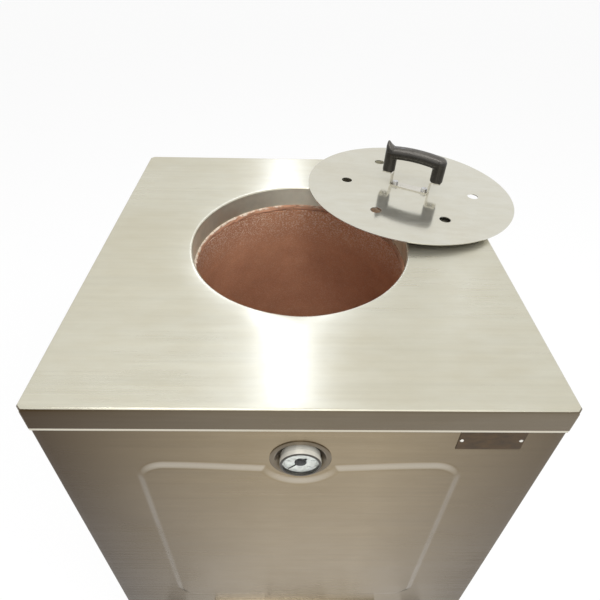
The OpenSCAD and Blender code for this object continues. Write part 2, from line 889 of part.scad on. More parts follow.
// Arched bar between the tops of the legs
module grip_bar() {
    translate([0, 0, bar_height + bar_arch - bar_curve_r])
        rotate([90, 0, 0]) rotate([0, 0, 90 - bar_half_angle])
            rotate_extrude(angle = 2 * bar_half_angle, $fn = 180)
                translate([bar_curve_r, 0]) intersection() {
                    circle(bar_r, $fn = 48);
                    square([2 * bar_flat, 2 * bar_r], center = true);
                }
}

// Pointed thumb rest over the left leg: upright outside, hollow towards the bar
module grip_spur() {
    z0 = bar_height + 3;
    intersection() {
        translate([-leg_x, 0, z0]) cylinder(r = leg_r - 0.3, h = spur_height - z0);
        rotate([90, 0, 0]) linear_extrude(2 * bar_r, center = true) difference() {
            translate([spur_x, bar_height]) square([2 * leg_r, spur_height - bar_height]);
            translate([spur_x + spur_tip_w + spur_hollow_r, spur_height + 1]) circle(spur_hollow_r);
        }
        rotate([90, 0, 90]) linear_extrude(4 * leg_x, center = true)
            polygon([[-bar_r, bar_height], [bar_r, bar_height], [bar_r, bar_height + 7],
                     [spur_tip_w, spur_height], [-spur_tip_w, spur_height],
                     [-bar_r, bar_height + 7]]);
    }
}

module handle_grip() {
    low = leg_lift + 0.1;
    color(black) difference() {
        on_handle() {
            for (sx = [-1, 1]) translate([sx * leg_x, 0, low])
                cylinder(r = leg_r, h = bar_height - low, $fn = 48);
            grip_bar();
            translate([leg_x, 0, bar_height - 1]) cylinder(r = leg_r - 0.4, h = bar_r - 2, $fn = 48);
            translate([leg_x, 0, bar_height]) sphere(bar_r + 0.3, $fn = 48);
            translate([-leg_x, 0, bar_height]) sphere(bar_r + 0.3, $fn = 48);
            grip_spur();
        }
        on_handle() for (sx = [-1, 1]) translate([sx * leg_x, 0, low - eps])
            cylinder(r = grip_screw_r + running, h = grip_screw_l + 1 + eps, $fn = 48);
    }
}

module handle_bolts() {
    z_end = -lid_t - nut_stack;
    z_washer = strap_t;
    color(steel) on_handle() for (sx = [-1, 1]) translate([sx * bolt_spacing / 2, 0, 0]) {
        translate([0, 0, z_end]) cylinder(r = m6_r, h = z_washer - z_end + 0.5, $fn = 48);
        translate([0, 0, z_washer]) cylinder(r = washer_r, h = washer_t, $fn = 48);
        translate([0, 0, z_washer + washer_t]) cylinder(r = m6_head_r, h = m6_head_h, $fn = 6);
    }
}

module handle_nuts() {
    z1 = -lid_t;
    color(steel) difference() {
        on_handle() for (sx = [-1, 1]) translate([sx * bolt_spacing / 2, 0, 0]) {
            translate([0, 0, z1 - washer_t]) cylinder(r = washer_r, h = washer_t, $fn = 48);
            translate([0, 0, z1 - washer_t - m6_nut_h])
                cylinder(r = m6_head_r, h = m6_nut_h, $fn = 6);
        }
        on_handle() bolt_holes(-lid_t - nut_stack - eps, eps);
    }
}

module grip_screws() {
    head_top = leg_lift - strap_t;
    color(steel) on_handle() for (sx = [-1, 1]) translate([sx * leg_x, 0, head_top]) {
        translate([0, 0, -grip_head_h]) cylinder(r = grip_head_r, h = grip_head_h, $fn = 48);
        translate([0, 0, -0.5])
            cylinder(r = grip_screw_r, h = strap_t + grip_screw_l + 0.5, $fn = 48);
    }
}

// ---- ash drawer ----

module draught_holes(r, y0, y1, shift) {
    for (i = [0 : draught_count - 1])
        disc_y(r, (i - (draught_count - 1) / 2) * draught_pitch + shift, draught_z, y0, y1,
               $fn = 48);
}

module ash_tray() {
    y0 = drawer_back_y;
    color(steel) difference() {
        translate([-tray_w / 2, y0, tray_z0]) cube([tray_w, tray_l, tray_h]);
        translate([-tray_w / 2 + tray_t, y0 + tray_t, tray_z0 + tray_t])
            cube([tray_w - 2 * tray_t, tray_l - 2 * tray_t, tray_h]);
        draught_holes(draught_d / 2, y0 - eps, y0 + 5, 0);
        pull_holes(y0 - eps, y0 + 5);
    }
}

module pull_holes(y0, y1) {
    for (sx = [-1, 1]) disc_y(m6_r + running, sx * pull_spacing / 2, pull_z, y0, y1, $fn = 48);
}

module drawer_front() {
    color(steel) difference() {
        translate([0, drawer_face_y, drawer_front_z0 + drawer_front_h / 2])
            rotate([-90, 0, 0]) linear_extrude(drawer_front_t)
                rounded_rect(drawer_front_w, drawer_front_h, drawer_front_r, $fn = 48);
        draught_holes(draught_d / 2, drawer_face_y - eps, drawer_back_y + eps, 0);
        pull_holes(drawer_face_y - eps, drawer_back_y + eps);
    }
}

// Bent rod on two rosettes, whose threaded ends and nuts clamp the front to the tray
module drawer_pull() {
    nut_y = drawer_back_y + tray_t + 0.1;
    x = pull_spacing / 2;
    y1 = drawer_face_y - pull_reach + pull_d / 2;
    r = pull_d / 2;
    color(steel) translate([0, 0, pull_z]) {
        for (sx = [-1, 1]) {
            disc_y(r, sx * x, 0, y1 + pull_bend, drawer_face_y);
            disc_y(r + 3, sx * x, 0, drawer_face_y - 2, drawer_face_y);
            disc_y(m6_r, sx * x, 0, drawer_face_y - 1, nut_y + m6_nut_h + thread_end);
            disc_y(m6_head_r, sx * x, 0, nut_y, nut_y + m6_nut_h, $fn = 6);
            mirror([sx < 0 ? 1 : 0, 0, 0]) translate([x - pull_bend, y1 + pull_bend, 0])
                rotate([0, 0, -90]) rotate_extrude(angle = 90)
                    translate([pull_bend, 0]) circle(r, $fn = 48);
        }
        disc_x(r, y1, 0, -x + pull_bend, x - pull_bend);
    }
}

// Side view of the upper guide: a foot on the drawer's front and a lip over the slide
module guide_section() {
    gap = damper_t + 2 * damper_gap;
    square([gap, guide_w]);
    translate([gap, -guide_lip]) square([1.2, guide_w + guide_lip]);
}

module damper_guides() {
    l = drawer_front_w - 20;
    color(steel) for (s = [0, 1])
        translate([0, drawer_face_y, draught_z]) mirror([0, 0, s])
            translate([-l / 2, 0, damper_h / 2 + damper_gap])
                rotate([90, 0, 90]) mirror([1, 0]) linear_extrude(l) guide_section();
}

module damper_slide() {
    y1 = drawer_face_y - damper_gap;
    y0 = y1 - damper_t;
    color(dark_steel) difference() {
        translate([damper_x0, y0, draught_z - damper_h / 2])
            cube([damper_x1 - damper_x0, damper_t, damper_h]);
        draught_holes(draught_d / 2, y0 - eps, y1 + eps, -damper_travel);
    }
}

module damper_knob() {
    y1 = drawer_face_y - damper_gap - damper_t;
    color(black) translate([damper_knob_x, y1, draught_z]) rotate([90, 0, 0])
        rotate_extrude() {
            square([knob_neck_r, knob_l]);
            translate([0, knob_neck_l]) square([knob_r, knob_l - knob_neck_l]);
            translate([0, knob_l]) intersection() {
                translate([0, 2 - knob_dome_r]) circle(knob_dome_r);
                square([knob_r - 1, 3]);
            }
        }
}

// ---- base and casters ----

module caster_holes(t) {
    at_corners() for (sx = [-1, 1], sy = [-1, 1])
        translate([caster_at + sx * caster_bolt_x, caster_at + sy * caster_bolt_y, caster_h])
            cylinder(r = m8_hole_r, h = 2 * t + 2 * eps, center = true, $fn = 48);
}

// Half section of the ball race, with the groove between its two cups
module race_section() {
    polygon([[0, 0], [race_r - race_edge, 0], [race_r, race_edge], [race_r, race_h / 2 - 1],
             [race_r - race_groove, race_h / 2 - 0.5], [race_r - race_groove, race_h / 2 + 0.5],
             [race_r, race_h / 2 + 1], [race_r, race_h + 0.5], [0, race_h + 0.5]]);
}

// Plate, ball race and king pin of each caster
module caster_plates() {
    z_race = caster_h - caster_plate_t - race_h;
    color(dark_steel) difference() {
        at_corners() translate([caster_at, caster_at, 0]) {
            translate([0, 0, caster_h - caster_plate_t]) linear_extrude(caster_plate_t)
                rounded_rect(caster_plate_w, caster_plate_l, caster_plate_r, $fn = 48);
            translate([0, 0, z_race]) rotate_extrude() race_section();
            translate([0, 0, fork_top_z - fork_top_t - seat - 1])
                cylinder(r = kingpin_r, h = race_h + fork_top_t + 3);
            translate([0, 0, fork_top_z - fork_top_t - seat - kingpin_head_h])
                cylinder(r = kingpin_head_r, h = kingpin_head_h);
        }
        caster_holes(caster_plate_t);
    }
}

module caster_bolts() {
    color(steel) at_corners() for (sx = [-1, 1], sy = [-1, 1])
        translate([caster_at + sx * caster_bolt_x, caster_at + sy * caster_bolt_y, 0]) {
            z0 = caster_h - caster_plate_t;
            translate([0, 0, z0 - m8_head_h]) cylinder(r = m8_head_r, h = m8_head_h, $fn = 6);
            translate([0, 0, z0 - 0.5]) cylinder(r = m8_r, h = 15, $fn = 48);
            translate([0, 0, caster_h + frame_t]) cylinder(r = m8_head_r, h = m8_nut_h, $fn = 6);
        }
}

// Moves a caster drawn about its swivel axis, with the wheel trailing to the front, to a corner
module at_caster(sx, sy) {
    translate([sx * caster_at, sy * caster_at, 0]) children();
}

// Swivel fork: a top plate on the king pin and two tapering cheeks down to the axle
module fork(sx, sy, braked) {
    z1 = fork_top_z;
    color(steel) at_caster(sx, sy) difference() {
        union() {
            translate([0, 0, z1 - fork_top_t]) {
                cylinder(r = race_r + 1, h = fork_top_t);
                translate([-fork_half_w, -fork_half_l, 0])
                    cube([2 * fork_half_w, 2 * fork_half_l, fork_top_t]);
            }
            for (s = [0, 1]) mirror([s, 0, 0])
                translate([fork_in, 0, 0]) rotate([90, 0, 90]) linear_extrude(fork_t)
                    hull() {
                        translate([-caster_trail, wheel_r]) circle(fork_end_r, $fn = 32);
                        translate([-fork_half_l, z1 - fork_top_t]) square([2 * fork_half_l, 1]);
                        if (braked) translate([brake_y, brake_z]) circle(brake_pin_r + 3, $fn = 32);
                    }
            if (braked)
                disc_x(brake_pin_r, brake_y, brake_z, -fork_half_w - 1.5, fork_half_w + 1.5, $fn = 48);
        }
        cylinder(r = kingpin_r + running, h = caster_h);
        disc_x(m8_r + running, -caster_trail, wheel_r, -fork_half_w - eps, fork_half_w + eps,
               $fn = 48);
    }
}

module axle_bolt(sx, sy) {
    color(steel) at_caster(sx, sy) {
        disc_x(m8_r, -caster_trail, wheel_r, -fork_half_w - 7.5, fork_half_w + 1, $fn = 48);
        translate([0, -caster_trail, wheel_r]) rotate([0, 90, 0]) {
            translate([0, 0, fork_half_w]) cylinder(r = m8_head_r, h = m8_head_h, $fn = 6);
            translate([0, 0, -fork_half_w - m8_nut_h]) cylinder(r = m8_head_r, h = m8_nut_h, $fn = 6);
        }
    }
}

// Turns a wheel section, drawn as radius and width, about the axle
module spun_about_axle(sx, sy) {
    at_caster(sx, sy) translate([0, -caster_trail, wheel_r]) rotate([0, 90, 0])
        rotate_extrude() children();
}

module wheel_core(sx, sy) {
    bore = m8_r + running;
    color([0.75, 0.75, 0.72]) spun_about_axle(sx, sy) {
        translate([bore, -hub_half]) square([6, 2 * hub_half]);
        translate([bore + 2, -4]) square([tyre_in_r - bore - 4, 8]);
        translate([tyre_in_r - 5, -wheel_w / 2 + 2]) square([5, wheel_w - 4]);
    }
}

module tyre(sx, sy) {
    half = wheel_w / 2;
    r = 4;
    color([0.25, 0.25, 0.26]) spun_about_axle(sx, sy) {
        translate([tyre_in_r, -half]) square([wheel_r - tyre_in_r - r, 2 * half]);
        translate([tyre_in_r, -half + r]) square([wheel_r - tyre_in_r, 2 * (half - r)]);
        for (s = [-1, 1]) translate([wheel_r - r, s * (half - r)]) circle(r, $fn = 48);
    }
}

// Foot lever on a front caster, with the lobe that presses the tyre when it is down
module brake_pedal(sx, sy) {
    half = fork_in - 1;
    color(dark_steel) at_caster(sx, sy) difference() {
        translate([0, brake_y, brake_z]) {
            translate([-half, 0, 0]) rotate([90, 0, 90]) linear_extrude(2 * half) {
                circle(brake_pin_r + 2.5, $fn = 48);
                rotate(brake_aim - brake_turn) {
                    translate([brake_reach - brake_lobe_r, 0]) circle(brake_lobe_r, $fn = 48);
                    translate([0, -brake_lobe_r])
                        square([brake_reach - brake_lobe_r, 2 * brake_lobe_r]);
                }
                rotate(180 - pedal_slope) translate([0, pedal_low - pedal_t]) square([pedal_l, pedal_t]);
            }
            rotate([-pedal_slope, 0, 0]) translate([0, tread_l / 2 - pedal_l - tread_out, -pedal_low])
                linear_extrude(pedal_t)
                    rounded_rect(2 * (half + tread_out), tread_l, tread_r, $fn = 48);
        }
        disc_x(brake_pin_r + 0.08, brake_y, brake_z, -side, side, $fn = 48);
    }
}

top_cover();
mouth_collar();
collar_seal();
clay_pot();
insulation_fill();
hearth_slab();
charcoal_grate();
slab_bearers();
ash_tunnel();
drawer_runners();
front_panel();
left_panel();
right_panel();
rear_panel();
panel_rivets();
base_pan();
base_frame();
corner_posts();
gauge_flange();
gauge_nuts();
gauge_case();
gauge_dial();
gauge_glass();
gauge_stem();
nameplate();
nameplate_rivets();
caster_plates();
caster_bolts();
gauge_pointer();
lid_plate();
handle_bracket();
handle_grip();
handle_bolts();
handle_nuts();
grip_screws();
ash_tray();
drawer_front();
drawer_pull();
damper_guides();
damper_slide();
damper_knob();
fork(-1, -1, true);  // caster_fork_fl
fork(1, -1, true);  // caster_fork_fr
fork(-1, 1, false);  // caster_fork_rl
fork(1, 1, false);  // caster_fork_rr
axle_bolt(-1, -1);  // axle_bolt_fl
axle_bolt(1, -1);  // axle_bolt_fr
axle_bolt(-1, 1);  // axle_bolt_rl
axle_bolt(1, 1);  // axle_bolt_rr
wheel_core(-1, -1);  // wheel_core_fl
wheel_core(1, -1);  // wheel_core_fr
wheel_core(-1, 1);  // wheel_core_rl
wheel_core(1, 1);  // wheel_core_rr
tyre(-1, -1);  // tyre_fl
tyre(1, -1);  // tyre_fr
tyre(-1, 1);  // tyre_rl
tyre(1, 1);  // tyre_rr
brake_pedal(-1, -1);  // brake_pedal_fl
brake_pedal(1, -1);  // brake_pedal_fr
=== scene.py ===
"""Looks of a clay tandoor oven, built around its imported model. Metres, +Z up, front at -Y."""

import json
from math import atan2, cos, hypot, pi, radians, sin, sqrt, tau

import bmesh
import bpy
from mathutils import Matrix, Vector, noise

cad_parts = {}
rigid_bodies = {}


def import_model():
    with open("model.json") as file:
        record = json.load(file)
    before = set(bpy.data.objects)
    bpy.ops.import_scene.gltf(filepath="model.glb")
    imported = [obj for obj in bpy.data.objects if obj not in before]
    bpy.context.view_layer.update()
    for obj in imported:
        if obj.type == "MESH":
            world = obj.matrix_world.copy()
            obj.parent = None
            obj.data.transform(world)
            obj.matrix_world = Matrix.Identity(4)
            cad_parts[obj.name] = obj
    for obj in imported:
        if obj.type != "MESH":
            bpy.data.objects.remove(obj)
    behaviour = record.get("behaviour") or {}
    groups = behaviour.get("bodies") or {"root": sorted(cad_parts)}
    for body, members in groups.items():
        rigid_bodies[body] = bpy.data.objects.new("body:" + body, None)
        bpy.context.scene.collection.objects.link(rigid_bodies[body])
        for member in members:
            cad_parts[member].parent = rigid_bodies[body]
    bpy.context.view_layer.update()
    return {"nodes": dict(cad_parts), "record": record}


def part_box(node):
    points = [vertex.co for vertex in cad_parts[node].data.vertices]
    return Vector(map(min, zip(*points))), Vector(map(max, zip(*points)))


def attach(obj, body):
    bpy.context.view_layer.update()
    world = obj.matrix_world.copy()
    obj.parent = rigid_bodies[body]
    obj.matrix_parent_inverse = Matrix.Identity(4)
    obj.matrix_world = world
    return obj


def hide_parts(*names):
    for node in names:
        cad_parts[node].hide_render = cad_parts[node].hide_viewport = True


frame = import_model()
MM = 0.001

# ---- sizes read from the frame ----
# hem, sheet and lid values, which the frame doesn't give, repeat those of the CAD

COVER_LO, COVER_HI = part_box("top_cover")
TOP_Z = COVER_HI.z
HEM_R = 1.3 * MM
HEM_OUT = 1.25 * MM
COVER_HALF = COVER_HI.x - HEM_OUT
HEM_Z = COVER_LO.z + HEM_R
MOUTH = next(m for m in frame["record"]["mounts"] if m["name"] == "mouth")
MOUTH_R = MOUTH["dims"]["r_mm"] * MM
MOUTH_Y = MOUTH["pos_m"][1]
MOUTH_AT = (0, MOUTH_Y, 0)
COLLAR_LO, COLLAR_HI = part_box("mouth_collar")
PANEL_SHEET = 1.2 * MM
PANEL_LO, PANEL_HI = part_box("front_panel")
POT_LO, POT_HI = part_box("clay_pot")
SEAL_LO, SEAL_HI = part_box("collar_seal")
CASE_LO, CASE_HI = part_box("gauge_case")
GAUGE_Z = (CASE_LO.z + CASE_HI.z) / 2
GAUGE = Vector((0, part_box("gauge_dial")[0].y, GAUGE_Z))
GAUGE_AXIS = (0, 1, 0)
LID_LO, LID_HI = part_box("lid_plate")
LID_FALL, LID_TILT, HANDLE_TURN = (radians(a) for a in (31.7, 2.982, -26))
LID_SHEET = 1.5 * MM
LID_FRAME = (Matrix.Translation((LID_LO + LID_HI) / 2) @ Matrix.Rotation(LID_FALL, 4, "Z")
             @ Matrix.Rotation(LID_TILT, 4, "Y") @ Matrix.Rotation(-LID_FALL, 4, "Z")
             @ Matrix.Translation((0, 0, LID_SHEET / 2)))
HANDLE_FRAME = LID_FRAME @ Matrix.Rotation(HANDLE_TURN, 4, "Z")


def add_object(name, data):
    """A new object in the scene."""
    made = bpy.data.objects.new(name, data)
    bpy.context.scene.collection.objects.link(made)
    return made


# ---- camera ----

IMAGE_PX = 600
FOCAL_PX = 474.01
PRINCIPAL_Y_PX = 262.89
SENSOR_MM = 36.0
CAMERA_AT = Vector((-0.0144, -0.6338, 1.3246))
CAMERA_DOWN, CAMERA_TURN, CAMERA_ROLL = (radians(a) for a in (37.860, 1.3538, 1.4697))


def make_camera():
    """The photograph's view, from the measured position, angles and focal length."""
    ahead = Vector((sin(CAMERA_TURN) * cos(CAMERA_DOWN),
                    cos(CAMERA_TURN) * cos(CAMERA_DOWN), -sin(CAMERA_DOWN)))
    level = Vector((cos(CAMERA_TURN), -sin(CAMERA_TURN), 0))
    above = level.cross(ahead)
    right = cos(CAMERA_ROLL) * level + sin(CAMERA_ROLL) * above
    up = -sin(CAMERA_ROLL) * level + cos(CAMERA_ROLL) * above
    data = bpy.data.cameras.new("camera")
    data.sensor_width = SENSOR_MM
    data.lens = FOCAL_PX / IMAGE_PX * SENSOR_MM
    data.shift_y = (PRINCIPAL_Y_PX - IMAGE_PX / 2) / IMAGE_PX
    data.clip_start = 0.01
    camera = add_object("camera", data)
    camera.matrix_world = Matrix.Translation(CAMERA_AT) @ Matrix((right, up, -ahead)).transposed().to_4x4()
    bpy.context.scene.camera = camera


# ---- light and floor ----

WORLD_FILL = 0.62
WORLD_SEEN = 1.0
FLOOR_COLOR = (0.90, 0.90, 0.895)
FLOOR_SIZE = 60.0
FLOOR_LIFT = 0.85
DAYLIGHT = (0.72, 0.79, 1.0)
WHITE = (1, 1, 1)
LAMPS = [
    # name, place, aim, width and height, watts, roll in degrees, colour, seen in steel
    ("key", (0.7, -1.8, 3.0), (0, 0, 0.85), (4.0, 4.0), 52, 0, WHITE, False),
    ("side_key", (2.0, -1.2, 3.6), (0, 0, 0.85), (0.7, 0.7), 22, 0, WHITE, False),
    ("mouth_key", (0.4, -1.6, 3.2), (0, 0, 0.85), (0.6, 0.6), 24, 0, WHITE, False),
    ("front_box", (0.1, -2.4, 2.7), (0, -0.3, 0.80), (2.8, 1.9), 14, 0, WHITE, True),
    ("grip_light", (-0.45, -0.80, 3.13), (0.21, 0.18, 0.95), (1.5, 0.5), 11, 6, WHITE, True),
    ("window", (-0.05, 1.50, 2.55), (0, -0.1, 0.87), (0.14, 1.55), 5.0, 0, DAYLIGHT, True),
    ("window_glow", (-0.12, 1.40, 2.85), (0, -0.1, 0.87), (0.8, 1.1), 1.3, 0, DAYLIGHT, True),
    ("side_window", (1.13, 1.92, 2.35), (0.24, 0, 0.87), (0.12, 0.35), 0.22, -20, DAYLIGHT, True),
]


def seen_rays(shade):
    """1 where a ray comes from the camera, a reflection or glass, and 0 elsewhere."""
    path = shade.node("LightPath").outputs
    direct = shade.math("MAXIMUM", path["Is Camera Ray"], path["Is Glossy Ray"])
    return shade.math("MAXIMUM", direct, path["Is Transmission Ray"])


def make_world():
    """Even grey fill, which the camera, metal and glass see as a white studio."""
    world = bpy.data.worlds.new("studio")
    world.use_nodes = True
    bpy.context.scene.world = world
    shade = Shade.on_tree(world.node_tree)
    ground = world.node_tree.nodes["Background"]
    ground.inputs["Color"].default_value = (1, 1, 1, 1)
    level = shade.fit(seen_rays(shade), 0, 1, WORLD_FILL, WORLD_SEEN)
    world.node_tree.links.new(level, ground.inputs["Strength"])


def area_light(name, at, towards, size, watts, roll, color, mirrored):
    """A soft rectangular lamp that isn't itself in the picture, and in reflections only if mirrored."""
    data = bpy.data.lights.new(name, "AREA")
    data.color = color
    data.shape = "RECTANGLE"
    data.size, data.size_y = size
    data.energy = watts
    lamp = add_object(name, data)
    lamp.location = at
    aim = (Vector(towards) - Vector(at)).to_track_quat("-Z", "Y").to_matrix()
    lamp.rotation_euler = (aim @ Matrix.Rotation(radians(roll), 3, "Z")).to_euler()
    lamp.visible_camera = False
    lamp.visible_glossy = mirrored


def make_floor():
    """Pale floor, lifted towards white for what sees it, so that its shadows stay soft."""
    bpy.ops.mesh.primitive_plane_add(size=FLOOR_SIZE)
    floor = bpy.context.object
    floor.name = "floor"
    shade = Shade("floor_paint", FLOOR_COLOR, 0.9, Specular_IOR_Level=0.1, Emission_Color=(1, 1, 1, 1))
    seen = seen_rays(shade)
    shade.drive("Emission Strength", shade.times(seen, FLOOR_LIFT))
    kept = shade.fit(seen, 0, 1, 1, 1 - FLOOR_LIFT)
    shade.drive("Base Color", shade.blend(kept, (0, 0, 0), FLOOR_COLOR))
    floor.data.materials.append(shade.material)


# ---- material building blocks ----

class Shade:
    """A node material built up step by step round one Principled shader."""

    def __init__(self, name, color, roughness, **sockets):
        self.material = bpy.data.materials.new(name)
        self.material.use_nodes = True
        self.tree = self.material.node_tree
        self.shader = self.tree.nodes["Principled BSDF"]
        self.set(Base_Color=(*color, 1), Roughness=roughness, **sockets)

    @classmethod
    def on_tree(cls, tree):
        """The same helpers on a tree that has no Principled shader."""
        made = cls.__new__(cls)
        made.tree = tree
        return made

    def set(self, **sockets):
        for name, value in sockets.items():
            self.shader.inputs[name.replace("_", " ")].default_value = value

    def feed(self, socket, value):
        """Links a socket to another one, or sets its constant."""
        if isinstance(value, bpy.types.NodeSocket):
            self.tree.links.new(value, socket)
        else:
            socket.default_value = value

    def node(self, kind, **values):
        """A new node with its inputs fed and its settings made."""
        n = self.tree.nodes.new("ShaderNode" + kind)
        for name, value in values.items():
            key = name.replace("_", " ") if name.replace("_", " ") in n.inputs else name
            if key in n.inputs:
                self.feed(n.inputs[key], value)
            else:
                setattr(n, name, value)
        return n

    def operate(self, kind, operation, a, b):
        """A node that works on two values, each a socket or a constant."""
        n = self.node(kind, operation=operation)
        self.feed(n.inputs[0], a)
        self.feed(n.inputs[1], b)
        return n.outputs

    def math(self, operation, a, b=0.0):
        return self.operate("Math", operation, a, b)[0]

    def times(self, a, b):
        return self.math("MULTIPLY", a, b)

    def plus(self, a, b):
        return self.math("ADD", a, b)

    def length(self, a, b):
        """The length of the vector (a, b)."""
        squares = self.plus(self.times(a, a), self.times(b, b))
        return self.math("SQRT", squares)

    def fit(self, value, low, high, to_low, to_high):
        """Maps low..high to to_low..to_high, clamped."""
        return self.node("MapRange", Value=value, From_Min=low, From_Max=high,
                         To_Min=to_low, To_Max=to_high).outputs["Result"]

    def blend(self, factor, first, second):
        """Mixes two colours, each an RGB tuple or a socket."""
        n = self.node("Mix", data_type="RGBA", Factor=factor)
        for socket, value in ((n.inputs[6], first), (n.inputs[7], second)):
            self.feed(socket, value if isinstance(value, bpy.types.NodeSocket) else (*value, 1))
        return n.outputs[2]

    def lay(self, noise, low, high, share, under, over):
        """Lays a colour over another: nothing where the noise is low, a share where it is high."""
        return self.blend(self.fit(noise, low, high, 0, share), under, over)

    def bump(self, height, distance, strength, under=None):
        n = self.node("Bump", Height=height, Strength=strength, Distance=distance)
        if under is not None:
            self.feed(n.inputs["Normal"], under)
        return n.outputs["Normal"]

    def drive(self, socket, value):
        self.feed(self.shader.inputs[socket], value)

    def finish(self, color, normal):
        """Drives the colour and the surface, and gives the material."""
        self.drive("Base Color", color)
        self.drive("Normal", normal)
        return self.material

    def roughen(self, noise, low, high):
        """Roughness that goes from low to high with a noise."""
        self.drive("Roughness", self.fit(noise, 0.3, 0.7, low, high))

    def position(self):
        """Coordinates in the object's own frame."""
        return self.node("TexCoord").outputs["Object"]

    def split(self, vector):
        return self.node("SeparateXYZ", Vector=vector).outputs

    def facing(self):
        """The way a point faces, as x, y and z."""
        return self.split(self.node("TexCoord").outputs["Normal"])

    def across(self):
        """Distance to the right of the middle."""
        return self.split(self.position())[0]

    def height(self):
        """Height above the floor."""
        return self.split(self.position())[2]

    def from_centre(self, centre):
        return self.operate("VectorMath", "SUBTRACT", self.position(), centre)[0]

    def place(self, stretch):
        """Coordinates in the object's own frame, stretched so that noise runs along one axis."""
        return self.node("Mapping", Vector=self.position(), Scale=stretch).outputs["Vector"]

    def around(self, axis, centre, per_turn, along, out):
        """Coordinates round an axis: counts per turn, per metre along it and per metre outwards."""
        x, y, z = self.split(self.from_centre(centre))
        a, b, c = {"Z": (x, y, z), "Y": (x, z, y)}[axis]
        angle = self.math("ARCTAN2", b, a)
        # the angle goes in as a circle, so that the noise has no seam
        ring = self.times(self.math("COSINE", angle), per_turn / tau)
        ring2 = self.times(self.math("SINE", angle), per_turn / tau)
        outwards = self.times(self.length(a, b), out)
        depth = self.plus(self.times(c, along), outwards)
        return self.node("CombineXYZ", X=ring, Y=ring2, Z=depth).outputs["Vector"]

    def noise(self, vector, detail=3, rough=0.5, distortion=0.0):
        return self.node("TexNoise", Vector=vector, Scale=1.0, Detail=detail,
                         Roughness=rough, Distortion=distortion).outputs["Fac"]

    def speckle(self, per_m, **look):
        """Noise that is as fine in every direction."""
        return self.noise(self.place((per_m, per_m, per_m)), **look)

    def streaks(self, grain, across_per_m, along_per_m, **look):
        """Noise that is drawn out along a grain."""
        stretch = [across_per_m - (across_per_m - along_per_m) * abs(g) for g in Vector(grain)]
        return self.noise(self.place(stretch), **look)

    def worn_edges(self):
        """0 on flat places and 1 along sharp edges."""
        rounded = self.node("Bevel", Radius=EDGE_WEAR_R).outputs["Normal"]
        flat = self.node("NewGeometry").outputs["Normal"]
        turn = self.operate("VectorMath", "DOT_PRODUCT", rounded, flat)["Value"]
        return self.fit(turn, 0.85, 0.98, 1, 0)

    def grain_along(self, direction):
        """Brush lines along a direction of the object, which spread the highlight across them."""
        self.set(Anisotropic_Rotation=0.25)
        turned = self.node("VectorTransform", Vector=direction, vector_type="VECTOR",
                           convert_from="OBJECT", convert_to="WORLD")
        self.drive("Tangent", turned.outputs["Vector"])

    def grain_around(self, axis, centre):
        """Brush lines that run round an axis."""
        self.grain_along(self.operate("VectorMath", "CROSS_PRODUCT", axis, self.from_centre(centre))[0])


def darker(color, share):
    return tuple(c * share for c in color)


# ---- materials ----

CRYSTALS_PER_M = 320
EDGE_WEAR_R = 0.6 * MM
SPECKLED_H = 100 * MM
SOOTY_H = 120 * MM
GLASS_IOR = 1.10
STAIN = (0.80, 0.74, 0.62)
# brown of the painted dark reflection on the sides of a front
PAINTED_SIDE_SHADE_BROWN = (0.052, 0.031, 0.012)
# colour of the painted highlight where a front leans back
PAINTED_LEAN_HIGHLIGHT = (0.72, 0.68, 0.60)
# grey of the painted sheen on plastic that faces up
PAINTED_SHEEN_GREY = (0.085, 0.080, 0.072)
BARE_METAL = (0.28, 0.27, 0.26)
ZINC_DULL = (0.30, 0.27, 0.22)


def brushed_sheet(name, color, roughness, grain, anisotropy=0.8, painted_side_shade=(0.0, 0.0), contrast=1.0,
                  haze=0.0, painted_lean_highlight=0.0):
    """Brushed sheet steel: fine lines and longer streaks along the grain, faint cloudy stains.

    The shares for the left and the right darken the sheet's front to brown towards its sides, a
    painted dark reflection; the contrast is that of the streaks, the haze is the share of light
    that the skin scatters, and the last share is a painted highlight that lightens such a front
    where it leans back, as on a pressed edge.
    """
    s = Shade(name, color, roughness, Metallic=1.0 - haze, Anisotropic=anisotropy)
    s.grain_along(grain)
    fine = s.streaks(grain, 900, 9, detail=2)
    streak = s.streaks(grain, 150, 3.5, detail=5, rough=0.6)
    mottle = s.streaks(grain, 60, 22, detail=5, rough=0.6)
    cloud = s.speckle(5, distortion=0.3)
    tone = s.lay(streak, 0.3, 0.7, 1, darker(color, 1 - 0.1 * contrast), darker(color, 1 + 0.08 * contrast))
    stained = tuple(c * t for c, t in zip(color, STAIN))
    tone = s.lay(cloud, 0.45, 0.75, 0.35, tone, stained)
    tone = s.lay(mottle, 0.35, 0.7, 0.22, tone, stained)
    # painted dark reflection: the front is darkened to brown towards its left and its right
    if max(painted_side_shade) > 0:
        across, turned = s.across(), s.facing()
        left = s.math("POWER", s.fit(across, -COVER_HALF, -0.1 * COVER_HALF, 1, 0), 1.2)
        left = s.times(left, painted_side_shade[0])
        right = s.fit(across, 0.3 * COVER_HALF, COVER_HALF, 0, painted_side_shade[1])
        share = s.times(s.plus(left, right), s.fit(turned[1], -0.9, -0.4, 1, 0))
        tone = s.blend(share, tone, PAINTED_SIDE_SHADE_BROWN)
        # painted highlight: faces that lean back are lightened, as on the pressed field's top edge
        tone = s.lay(turned[2], 0.14, 0.46, painted_lean_highlight, tone, PAINTED_LEAN_HIGHLIGHT)
    spread = s.plus(s.fit(streak, 0.25, 0.75, -0.04, 0.04), s.fit(cloud, 0.3, 0.7, -0.03, 0.05))
    s.drive("Roughness", s.plus(spread, roughness))
    scratch = s.bump(fine, 0.00003, 0.35)
    return s.finish(s.blend(s.worn_edges(), tone, tuple(min(c * 1.3 + 0.2, 0.8) for c in color)),
                    s.bump(cloud, 0.0012, 0.5, under=scratch))


